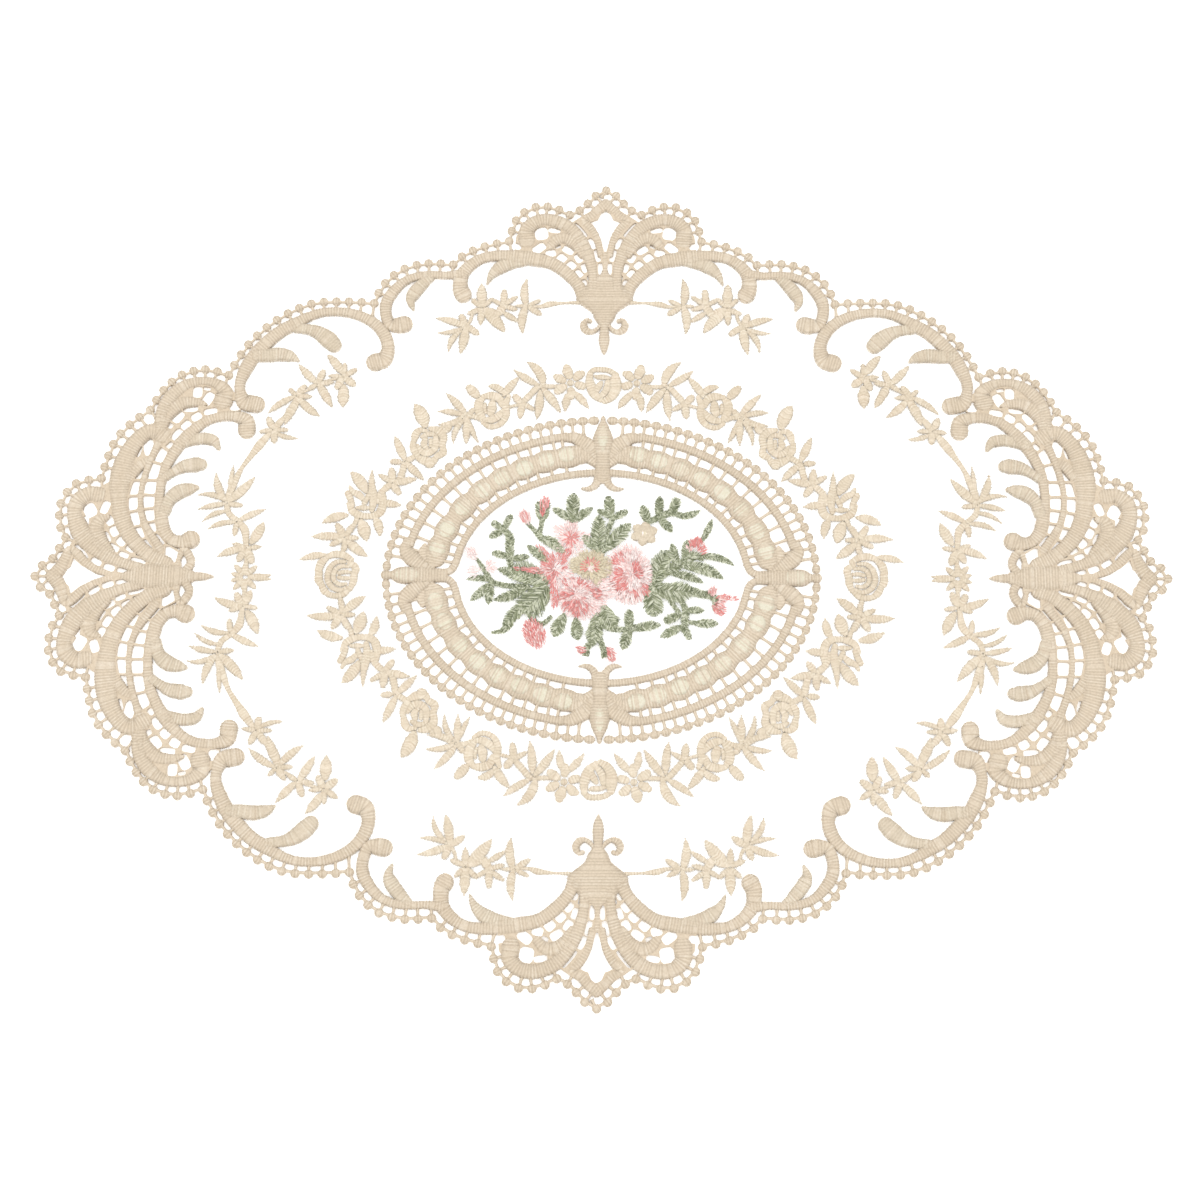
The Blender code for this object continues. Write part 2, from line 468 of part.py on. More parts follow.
def all_round(quarter):
    """One closed outline from a quarter's open line, which runs from the back to the side."""
    right = quarter + mirrored(quarter, False, True)[-2::-1]
    return right + mirrored(right, True, False)[-2:0:-1]


def offset(outline, distance):
    """A closed outline moved outwards by a small distance."""
    moved = []
    count = len(outline)
    area = sum(a[0] * b[1] - b[0] * a[1] for a, b in zip(outline, outline[1:] + outline[:1]))
    out = 1.0 if area < 0 else -1.0
    for i in range(count):
        before, here, after = outline[i - 1], outline[i], outline[(i + 1) % count]
        run, rise = after[0] - before[0], after[1] - before[1]
        length = math.hypot(run, rise)
        moved.append((here[0] - out * rise / length * distance, here[1] + out * run / length * distance))
    return moved


# ---------------------------------------------------------------- from outlines to solids
NOTHING, LAPPED, FULL = 0, 1, 2     # open; lying on the net; lying on the table
Patch = namedtuple("Patch", "outline low_x low_y high_x high_y")


def patches(outlines):
    return [Patch(outline, min(p[0] for p in outline), min(p[1] for p in outline),
                  max(p[0] for p in outline), max(p[1] for p in outline)) for outline in outlines]


def inside(patch, x, y):
    if not (patch.low_x <= x <= patch.high_x and patch.low_y <= y <= patch.high_y):
        return False
    odd = False
    x0, y0 = patch.outline[-1]
    for x1, y1 in patch.outline:
        if (y0 > y) != (y1 > y) and x < x0 + (x1 - x0) * (y - y0) / (y1 - y0):
            odd = not odd
        x0, y0 = x1, y1
    return odd


def triangulate(points, edges):
    """Triangles over the points that keep the edges; also the edges kept, as pairs of points."""
    flat = [Vector(point) for point in points]
    verts, lines, triangles, _, sources, _ = delaunay_2d_cdt(flat, edges, [], 0, WELD)
    kept = {tuple(sorted(line)) for line, source in zip(lines, sources) if source}
    return [(v.x, v.y) for v in verts], [tuple(t) for t in triangles], kept


def edge_owners(triangles):
    owners = {}
    for index, triangle in enumerate(triangles):
        for a, b in zip(triangle, triangle[1:] + triangle[:1]):
            owners.setdefault((min(a, b), max(a, b)), []).append(index)
    return owners


def grounds_of(triangles, walls):
    """The triangles of each ground that the kept edges close in."""
    near = [[] for _ in triangles]
    for edge, owners in edge_owners(triangles).items():
        if len(owners) == 2 and edge not in walls:
            near[owners[0]].append(owners[1])
            near[owners[1]].append(owners[0])
    grounds = []
    left = set(range(len(triangles)))
    while left:
        queue = [min(left)]
        left.remove(queue[0])
        ground = []
        while queue:
            here = queue.pop()
            ground.append(here)
            for other in near[here]:
                if other in left:
                    left.remove(other)
                    queue.append(other)
        grounds.append(ground)
    return grounds


def kinds_of(points, triangles, walls, kind_at, on_net):
    """The kind of each triangle: one for each ground, decided by area; specks join what is round them."""
    kinds = [NOTHING] * len(triangles)
    for ground in grounds_of(triangles, walls):
        votes = {}
        for t in ground:
            kind = kind_at(*middle(points, triangles[t]))
            votes[kind] = votes.get(kind, 0.0) + area(points, triangles[t])
        for t in ground:
            kinds[t] = max(votes, key=votes.get)
    edges = edge_owners(triangles)
    shores = {edge for edge, owners in edges.items() if len({kinds[t] == NOTHING for t in owners}) > 1}
    for ground in grounds_of(triangles, shores):
        on_rim = any(len(edges[min(a, b), max(a, b)]) == 1 for t in ground
                     for a, b in zip(triangles[t], triangles[t][1:] + triangles[t][:1]))
        if on_rim or sum(area(points, triangles[t]) for t in ground) > SPECK:
            continue
        filled = kinds[ground[0]] == NOTHING
        for t in ground:
            kinds[t] = solid_kind(points, triangles[t], on_net) if filled else NOTHING
    return kinds


def solid_kind(points, triangle, on_net):
    """A triangle that any part of the net lies under has to lie on the net."""
    spots = [points[i] for i in triangle] + [middle(points, triangle)]
    return LAPPED if any(on_net(*spot) for spot in spots) else FULL


def seams(triangles, kinds):
    """The edges where one kind of ground meets another, and the points of the step over the net's edge."""
    found, step = [], set()
    for edge, owners in edge_owners(triangles).items():
        met = {kinds[i] for i in owners}
        if len(owners) == 1:
            met.add(NOTHING)
        if len(met) > 1:
            found.append(edge)
        if met == {LAPPED, FULL}:
            step.update(edge)
    return found, step


def middle(points, triangle):
    return sum(points[i][0] for i in triangle) / 3, sum(points[i][1] for i in triangle) / 3


def off_line(points, here, a, b):
    """How far a point lies from the line through two others."""
    run, rise = points[b][0] - points[a][0], points[b][1] - points[a][1]
    length = math.hypot(run, rise)
    if length < WELD:
        return length
    return abs(run * (points[here][1] - points[a][1]) - rise * (points[here][0] - points[a][0])) / length


def straighten(points, edges, step, limit):
    """Leave out the points that lie nearly on their two neighbours' line, the straightest first."""
    links = {}
    for a, b in edges:
        links.setdefault(a, set()).add(b)
        links.setdefault(b, set()).add(a)
    scale = {here: limit / STEP_STRAIGHT if here in step else 1.0 for here in links}
    queue = [(off_line(points, here, *sorted(near)) * scale[here], here) for here, near in links.items()
             if len(near) == 2]
    heapq.heapify(queue)
    while queue:
        off, here = heapq.heappop(queue)
        near = sorted(links[here])
        if off > limit:
            break
        if len(near) != 2 or off != off_line(points, here, *near) * scale[here]:
            continue
        a, b = near
        if b in links[a]:
            continue
        for end, other in ((a, b), (b, a)):
            links[end].remove(here)
            links[end].add(other)
        links[here] = set()
        for end in (a, b):
            if len(links[end]) == 2:
                heapq.heappush(queue, (off_line(points, end, *sorted(links[end])) * scale[end], end))
    return sorted({(min(a, b), max(a, b)) for a, near in links.items() for b in near})


def fan_runs(fan, triangles, kinds, solid):
    """The runs of solid and of open triangles round a point."""
    left = set(fan)
    runs = []
    while left:
        queue = [min(left)]
        left.remove(queue[0])
        run = []
        while queue:
            here = queue.pop()
            run.append(here)
            for other in sorted(left):
                touching = len(set(triangles[here]) & set(triangles[other])) == 2
                if touching and (kinds[here] in solid) == (kinds[other] in solid):
                    left.remove(other)
                    queue.append(other)
        runs.append(run)
    return runs


def mend_pinches(points, triangles, kinds, on_net):
    """Where two corners of a solid touch at a point only, the smallest run of triangles there gives way."""
    fans = {}
    for index, triangle in enumerate(triangles):
        for point in triangle:
            fans.setdefault(point, []).append(index)
    pinched = True
    while pinched:
        pinched = False
        for fan in fans.values():
            for solid in ({FULL}, {FULL, LAPPED}):
                runs = fan_runs(fan, triangles, kinds, solid)
                if sum(kinds[run[0]] in solid for run in runs) < 2:
                    continue
                if solid == {FULL}:
                    runs = [run for run in runs if kinds[run[0]] == FULL]
                smallest = min(runs, key=lambda run: sum(area(points, triangles[t]) for t in run))
                for t in smallest:
                    if solid == {FULL}:
                        kinds[t] = LAPPED
                    else:
                        was_open = kinds[t] == NOTHING
                        kinds[t] = solid_kind(points, triangles[t], on_net) if was_open else NOTHING
                pinched = True
    return kinds


def area(points, triangle):
    (ax, ay), (bx, by), (cx, cy) = (points[i] for i in triangle)
    return abs((bx - ax) * (cy - ay) - (cx - ax) * (by - ay)) / 2


def plan(outlines, kind_at, on_net, limit):
    """The plan of a piece as triangles of one kind each, with no more points than its outline needs."""
    points, edges = [], []
    for outline in outlines:
        first = len(points)
        points += outline
        edges += [(first + i, first + (i + 1) % len(outline)) for i in range(len(outline))]
    points, triangles, walls = triangulate(points, edges)
    kinds = kinds_of(points, triangles, walls, kind_at, on_net)
    edges = straighten(points, *seams(triangles, kinds), limit)
    used = sorted({i for edge in edges for i in edge})
    place = {old: new for new, old in enumerate(used)}
    points, triangles, walls = triangulate([points[i] for i in used], [(place[a], place[b]) for a, b in edges])
    kinds = kinds_of(points, triangles, walls, kind_at, on_net)
    return points, triangles, mend_pinches(points, triangles, kinds, on_net)


def separate(triangles, kinds):
    """The triangles of each connected piece, the largest piece first."""
    owners = edge_owners(triangles)
    near = {i: set() for i, kind in enumerate(kinds) if kind != NOTHING}
    for pair in owners.values():
        if len(pair) == 2 and pair[0] in near and pair[1] in near:
            near[pair[0]].add(pair[1])
            near[pair[1]].add(pair[0])
    pieces = []
    left = set(near)
    while left:
        queue = [min(left)]
        left.remove(queue[0])
        piece = []
        while queue:
            here = queue.pop()
            piece.append(here)
            for other in near[here] & left:
                left.remove(other)
                queue.append(other)
        pieces.append(sorted(piece))
    return sorted(pieces, key=lambda piece: (-len(piece), piece[0]))


def in_metres(x, y):
    return (x + LEAN_X_PER_Y * y) * SQUARE, (y + LEAN_Y_PER_X * x) * SQUARE


def solid_mesh(name, points, triangles, piece, low, lap_z, top_z):
    """A closed mesh over the piece's triangles: a flat top, and an underside at each triangle's height."""
    verts, index = [], {}

    def corner(i, z):
        if (i, z) not in index:
            index[i, z] = len(verts)
            verts.append((*in_metres(*points[i]), z))
        return index[i, z]

    owners = edge_owners([triangles[t] for t in piece])
    stepped = {i for t in piece if low[t] == lap_z for i in triangles[t]}
    faces = []
    for t in piece:
        a, b, c = triangles[t]
        faces.append([corner(i, top_z) for i in (a, b, c)])
        faces.append([corner(i, low[t]) for i in (c, b, a)])
        for start, end in ((a, b), (b, c), (c, a)):
            beside = [piece[o] for o in owners[min(start, end), max(start, end)] if piece[o] != t]
            top = low[beside[0]] if beside else top_z
            if low[t] >= top:
                continue
            down, up = ([lap_z] if i in stepped and low[t] < lap_z < top else [] for i in (start, end))
            wall = [corner(start, z) for z in [top] + down + [low[t]]]
            wall += [corner(end, z) for z in [low[t]] + up + [top]]
            faces += [[wall[0], wall[k], wall[k + 1]] for k in range(1, len(wall) - 1)]
    mesh = bpy.data.meshes.new(name)
    mesh.from_pydata(verts, [], faces)
    mesh.update()
    return mesh


def nowhere(x, y):
    return False


def solids(name, material, outlines, kind_at, limit, floor_z, top_z, lap_z=None, on_net=nowhere):
    """Make the piece's solid; parts of the pattern that don't touch become solids of their own."""
    points, triangles, kinds = plan(outlines, kind_at, on_net, limit)
    low = [lap_z if kind == LAPPED else floor_z for kind in kinds]
    pieces = separate(triangles, kinds)
    for number, piece in enumerate(pieces, start=1):
        own_name = name if len(pieces) == 1 else f"{name}_{number}"
        mesh = solid_mesh(own_name, points, triangles, piece, low, lap_z, top_z)
        mesh.materials.append(material)
        bpy.context.scene.collection.objects.link(bpy.data.objects.new(own_name, mesh))


def thread(name, colour, roughness, alpha=1.0):
    material = bpy.data.materials.new(name)
    material.use_nodes = True
    shader = material.node_tree.nodes["Principled BSDF"]
    shader.inputs["Base Color"].default_value = (*colour, 1.0)
    shader.inputs["Roughness"].default_value = roughness
    shader.inputs["Metallic"].default_value = 0.0
    shader.inputs["Alpha"].default_value = alpha
    material.diffuse_color = (*colour, 1.0)
    return material


def covered_by(solid_outlines, cut_outlines=()):
    """A test for the ground that the first outlines cover and the second ones leave."""
    grounds, cuts = patches(solid_outlines), patches(cut_outlines)

    def kind_at(x, y):
        if any(inside(patch, x, y) for patch in cuts):
            return NOTHING
        return FULL if any(inside(patch, x, y) for patch in grounds) else NOTHING
    return kind_at


# ---------------------------------------------------------------- the pieces
def make_nets(material):
    border_edge = all_round(NET_EDGE)
    hole = ring_outline(PICOT_LINE, RING_LAP)
    solids("field_net", material, [border_edge, hole], covered_by([border_edge], [hole]), 0.0, 0.0, NET_THICKNESS)
    centre = ring_outline(INNER_BAND, 0.0)
    solids("centre_net", material, [centre], covered_by([centre]), 0.0, 0.0, NET_THICKNESS)


def make_border(material):
    spots = picot_edge()
    outer = all_round(quarter_edge(spots) + [(565.3 + PICOT_REACH, 0.0)])
    inner = [(x + v * PICOT_GROUND, y - u * PICOT_GROUND) for (x, y), (u, v), _ in spots[1::4]]
    behind = all_round([(0.0, inner[0][1])] + inner + [(inner[-1][0], 0.0)])
    worked = quarters([band(stations) for stations in BORDER_BANDS] + [BACK_FAN, SIDE_FAN])
    worked += quarters([band(stations) for stations in BACK_SPRAY_STEMS] + [leaf(row) for row in BACK_SPRAY])
    cuts = [opening(row) for row in BACK_FAN_OPENINGS + SIDE_FAN_OPENINGS] + [SIDE_WINDOW]
    cuts += [cell for rungs in LADDERS for cell in ladder_cells(rungs)]
    cuts = quarters(cuts)
    cuts += [STAR_BACK[:-1] + mirrored(STAR_BACK, True, False)[:0:-1],
             mirrored(STAR_BACK[:-1] + mirrored(STAR_BACK, True, False)[:0:-1], False, True),
             STAR_SIDE[:-1] + mirrored(STAR_SIDE, False, True)[:0:-1],
             mirrored(STAR_SIDE[:-1] + mirrored(STAR_SIDE, False, True)[:0:-1], True, False)]
    lap = offset(all_round(NET_EDGE), CLEARANCE)
    grounds, openings, net = patches(worked), patches(cuts), patches([lap])[0]
    whole, heart = patches([outer])[0], patches([behind])[0]

    def on_net(x, y):
        return inside(net, x, y)

    def kind_at(x, y):
        if any(inside(patch, x, y) for patch in openings):
            return NOTHING
        on_edge = inside(whole, x, y) and not inside(heart, x, y)
        if not on_edge and not any(inside(patch, x, y) for patch in grounds):
            return NOTHING
        return LAPPED if on_net(x, y) else FULL

    solids("lace_border", material, [outer, behind, lap] + worked + cuts, kind_at, LACE_STRAIGHT, 0.0,
           LACE_TOP, NET_THICKNESS + LAY_GAP, on_net)


def make_medallion(material):
    outer = ring_outline(PICOT_LINE, PICOT_REACH / 2, EDGE_POINTS)
    inner = ring_outline(INNER_BAND, -INNER_BAND.width / 2, EDGE_POINTS)
    cuts = quarters(ring_cells(OUTER_BAND, BEAD_BAND, RING_CELLS, RING_CELL_FIRST, RING_CELL_LAST)
                    + ring_cells(PICOT_LINE, OUTER_BAND, EDGE_CELLS, EDGE_CELL_FIRST, EDGE_CELL_LAST))
    curls = quarters([band(RING_CURL)])
    field_lap = ring_outline(PICOT_LINE, RING_LAP - CLEARANCE)
    centre_lap = ring_outline(INNER_BAND, CLEARANCE)
    whole, heart = patches([outer])[0], patches([inner])[0]
    field, centre = patches([field_lap])[0], patches([centre_lap])[0]
    openings, grounds = patches(cuts), patches(curls)

    def on_net(x, y):
        return inside(centre, x, y) or not inside(field, x, y)

    def kind_at(x, y):
        if any(inside(patch, x, y) for patch in openings):
            return NOTHING
        on_ring = inside(whole, x, y) and not inside(heart, x, y)
        if not on_ring and not any(inside(patch, x, y) for patch in grounds):
            return NOTHING
        return LAPPED if on_net(x, y) else FULL

    solids("medallion_lace", material, [outer, inner, field_lap, centre_lap] + cuts + curls, kind_at,
           LACE_STRAIGHT, 0.0, LACE_TOP, NET_THICKNESS + LAY_GAP, on_net)


def make_garland(material):
    shapes = quarters([band(stations) for stations in GARLAND_STEMS] + [leaf(row) for row in GARLAND_LEAVES]
                      + [oval(row, ROSE_POINTS) for row in GARLAND_ROSES] + [bloom(GARLAND_BLOOM)])
    shapes += [leaf(SIDE_ROSE_LEAF), mirrored(leaf(SIDE_ROSE_LEAF), True, False)]
    solids("rose_garland", material, shapes, covered_by(shapes), MOTIF_STRAIGHT, NET_THICKNESS + LAY_GAP,
           LACE_TOP)


def make_side_sprays(material):
    right = halves([band(stations) for stations in SIDE_SPRAY_STEMS] + [leaf(row) for row in SIDE_SPRAY])
    right += [bloom(SIDE_BLOOM), band(SIDE_BLOOM_STALK)]
    left = [mirrored(outline, True, False) for outline in right]
    for name, shapes in (("side_spray_right", right), ("side_spray_left", left)):
        solids(name, material, shapes, covered_by(shapes), MOTIF_STRAIGHT, NET_THICKNESS + LAY_GAP, LACE_TOP)


def make_bouquet(green, pink):
    roses = [oval(row, ROSE_POINTS) for row in BOUQUET_ROSES]
    buds = [oval(row, BUD_POINTS) for row in BOUQUET_BUDS]
    clear = [oval(row, ROSE_POINTS, BOUQUET_GAP) for row in BOUQUET_ROSES]
    clear += [oval(row, BUD_POINTS, BOUQUET_GAP) for row in BOUQUET_BUDS]
    leaves = [band(stations) for stations in BOUQUET_STEMS] + [leaf(row) for row in BOUQUET_LEAVES]
    bottom = NET_THICKNESS + LAY_GAP
    solids("bouquet_roses", pink, roses, covered_by(roses), BOUQUET_STRAIGHT, bottom, LACE_TOP)
    solids("bouquet_bud", pink, buds, covered_by(buds), BOUQUET_STRAIGHT, bottom, LACE_TOP)
    solids("bouquet_greens", green, leaves + clear, covered_by(leaves, clear), BOUQUET_STRAIGHT, bottom,
           LACE_TOP)


def make_doily():
    for old in list(bpy.data.objects):
        bpy.data.objects.remove(old)
    beige = thread("beige_satin_thread", (0.76, 0.64, 0.49), 0.55)
    cream = thread("cream_satin_thread", (0.83, 0.73, 0.58), 0.5)
    net = thread("sheer_white_net", (0.93, 0.92, 0.89), 0.7, 0.35)
    green = thread("green_satin_thread", (0.21, 0.31, 0.13), 0.55)
    pink = thread("pink_satin_thread", (0.86, 0.33, 0.31), 0.5)
    make_nets(net)
    make_border(beige)
    make_medallion(beige)
    make_garland(cream)
    make_side_sprays(cream)
    make_bouquet(green, pink)


make_doily()
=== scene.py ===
"""The dressed lace doily: every band of satin stitch, bead, bar and petal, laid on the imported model.

The pattern is drawn on a chart of small squares, centred on the mat: x to the right, y to the back.
The border, the garland, the sprays and the ring are the same in each quarter, so their tables hold one
quarter and are mirrored. in_metres() turns squares into metres. Points with three numbers are the
middle line of a band or stem, with its width.
"""

import json
import math
import random
from collections import namedtuple

import bpy
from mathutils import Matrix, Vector
from mathutils.geometry import delaunay_2d_cdt

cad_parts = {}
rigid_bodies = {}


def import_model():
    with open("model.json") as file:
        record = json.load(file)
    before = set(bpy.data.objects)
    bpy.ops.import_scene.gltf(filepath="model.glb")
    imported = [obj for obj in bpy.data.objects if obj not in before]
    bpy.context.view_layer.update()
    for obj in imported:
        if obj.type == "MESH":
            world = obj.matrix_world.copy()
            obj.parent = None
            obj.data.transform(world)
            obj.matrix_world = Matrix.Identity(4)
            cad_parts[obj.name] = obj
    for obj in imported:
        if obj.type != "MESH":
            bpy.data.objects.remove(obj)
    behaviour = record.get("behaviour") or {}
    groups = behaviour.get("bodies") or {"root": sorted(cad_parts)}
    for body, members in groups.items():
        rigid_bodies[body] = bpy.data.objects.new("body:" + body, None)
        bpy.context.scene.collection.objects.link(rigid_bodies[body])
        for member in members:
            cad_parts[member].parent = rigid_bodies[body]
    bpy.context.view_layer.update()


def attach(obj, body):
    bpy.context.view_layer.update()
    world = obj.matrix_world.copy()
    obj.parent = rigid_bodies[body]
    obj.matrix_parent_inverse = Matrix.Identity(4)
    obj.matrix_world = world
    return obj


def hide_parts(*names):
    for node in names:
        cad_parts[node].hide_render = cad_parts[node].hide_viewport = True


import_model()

# ---------------- sizes and heights, metres
DOILY_LENGTH = 0.400        # picot tip to picot tip along X
CHART_LENGTH = 1142.0       # the same length in chart squares
SQUARE = DOILY_LENGTH / CHART_LENGTH
LACE_BOTTOM = 0.00015       # the border and the ring lie on the table
LACE_TOP = 0.00205
BEAD_TOP = LACE_TOP - 0.0002        # the picots' beads and the chain under the ring's pearls
BAND_STEP = 0.00003         # between the heights of border bands that overlap
LOBE_TOP = LACE_TOP - 0.0003        # the lowest of the ring's fleur lobes
LOBE_STEP = 0.0001
PEARL_BOTTOM = LACE_BOTTOM + 0.0004
PETAL_TOP = LACE_TOP + 0.0001       # the fleurs' middle petals and the bouquet's rays stand proud
GLOSS_TOP = LACE_TOP + 0.00016
RAY_BOTTOM = LACE_TOP - 0.0004
GROUND_BOTTOM = 0.00035     # the worked ground, picot legs and bars between the bands
GROUND_TOP = 0.00165
MOTIF_BOTTOM = 0.00090      # the garland, sprays and bouquet are worked on the net
MOTIF_TOP = 0.00155         # top of the garland and the sprays
STEM_TOP = MOTIF_TOP - 0.0001
ROSE_STEP = 0.00004         # between the heights of a garland rose's petals
GREEN_STEP = 0.00006        # and of the bouquet's leaves
GREEN_STEM_TOP = LACE_TOP - 0.0002
FLOWER_TOP = LACE_TOP - 0.0003      # the lowest of the bouquet's flowers
FLOWER_STEP = 0.00005
BUD_RISE = 0.0004           # buds lie on the leaves
SMALL_TAN_TOP = LACE_TOP - 0.0001
PETAL_STEP = 0.00003        # between the heights of a flower's petals
PETAL_THICK = 0.0001        # of a petal's loose stitches
UNDER_DEPTH = 0.0002        # from the top of a flower's petals down to their thin layer
LEAF_THICK = 0.0002         # of a bouquet leaf's
NET_LEVEL = 0.00085
NET_RIPPLE = 0.00006

# ---------------- how the groups lie, chart squares
LEAN_X_PER_Y = 0.0116       # the mat lies a little skewed: its back edge leans to the right
LEAN_Y_PER_X = -0.0025
RING_RISE = 0.9             # the ring sits a little towards the back
RING_LEAN = -0.0053         # and is turned a little further than the border
GARLAND_LEAN = -0.0024      # the garland is turned by less
GARLAND_SQUEEZE = 0.9955    # and is a little shallower than its table
SPRAY_RISE = -0.7           # the side sprays sit a little towards the front
SPRAY_IN = 0.8              # and nearer the middle than their table
BOUQUET_RISE = -0.9         # the bouquet's leaves sit a little towards the front

# ---------------- stitches, chart squares
STITCH = 1.45               # from one satin stitch to the next
UNDER_STITCH = 2.4          # the same in the thin layer under loose stitches
BEAD_STITCH = 1.5
FRAY = 0.4                  # how far stitch ends stand out of and draw in from a band's edge
LEAF_FRAY = 0.75            # the same for a leaf or a thin stem
BEAD_FRAY = 0.2
AS_LEAF = {"lean": 0.35, "fray": LEAF_FRAY}     # a leaf's stitches slant towards its tip
GROOVE = 0.84               # height of the gap between two stitches, as a share of the stitch
ROSE_SLIM = 0.94            # width of the garland roses' petals, as a share of their table's
OPEN = 1.3                  # added to the length and width of each opening in OPENINGS
PICOT_BEAD = 9.0            # across a picot's bead
PICOT_OUT = 0.9             # the bead's middle, outwards of the picot line
PICOT_LEG = 2.8             # width of the leg that joins a bead to the lace behind it
LEG_STEP = 0.5              # a leg grows by this until it meets a band, from 9 to 59 steps
LEG_SINK = 1.5              # and then goes this far into it
LEG_LOOSE = 10.0            # length of a leg that meets no band
RING_LEG = 17
RING_BAR = 2.9              # width of the ring's thread bars
RUNG_HALF = 1.05            # half width of a ladder's rung
CELL_SOFT = 0.12            # how much of each side is cut off at the corners of a ladder's opening
WINDOW_SOFT = 0.1           # and of the window at a side fan's base

Leaf = namedtuple("Leaf", "x y tip_x tip_y width bend", defaults=[0])   # bend: left of base to tip
Opening = namedtuple("Opening", "x y length width turn")        # turn in degrees from the X axis
Picots = namedtuple("Picots", "count line")                     # picots spaced evenly along a line
Ring = namedtuple("Ring", "reach_x reach_y width")              # an oval band's middle line and width
Rose = namedtuple("Rose", "x y size petals")
Flower = namedtuple("Flower", "middle petals")
Petal = namedtuple("Petal", "x y length width turn shade")      # an oval of loose stitches


def table(kind, rows):
    """The rows of a table with the kind's named columns."""
    return [kind(*row) for row in rows]


def flower(x, y, *petals):
    return Flower((x, y), table(Petal, petals))


# ---------------- border, one quarter
PICOT_RUNS = table(Picots, [
    (4, [(0, 423), (11.5, 416), (24, 402), (38, 395)]),
    (7, [(38, 395), (55, 403), (73.5, 403.7), (92, 391), (100.5, 364.7)]),
    (5, [(100.5, 364.7), (126, 358.6), (146, 349.5), (158.4, 338)]),
    (8, [(158.4, 338), (184, 339.2), (210, 332.5), (229, 315.5), (239, 294.2)]),
    (14, [(239, 294.2), (265, 296), (303, 293.7), (338, 275.8), (366, 248.4), (385.3, 214.2)]),
    (8, [(385.3, 214.2), (408.4, 220.5), (433, 214.5), (450.5, 197.4), (462.6, 176.3)]),
    (7, [(462.6, 176.3), (481.6, 161), (497, 140), (507.4, 102.5)]),
    (7, [(507.4, 102.5), (532.3, 96.8), (545.8, 75.8), (544, 52), (537.9, 40)]),
    (4, [(537.9, 40), (544.2, 27.4), (550, 17), (560, 10), (565.3, 0)]),
])
PICOT_TIP = 565.3           # where the last run ends, on the X axis
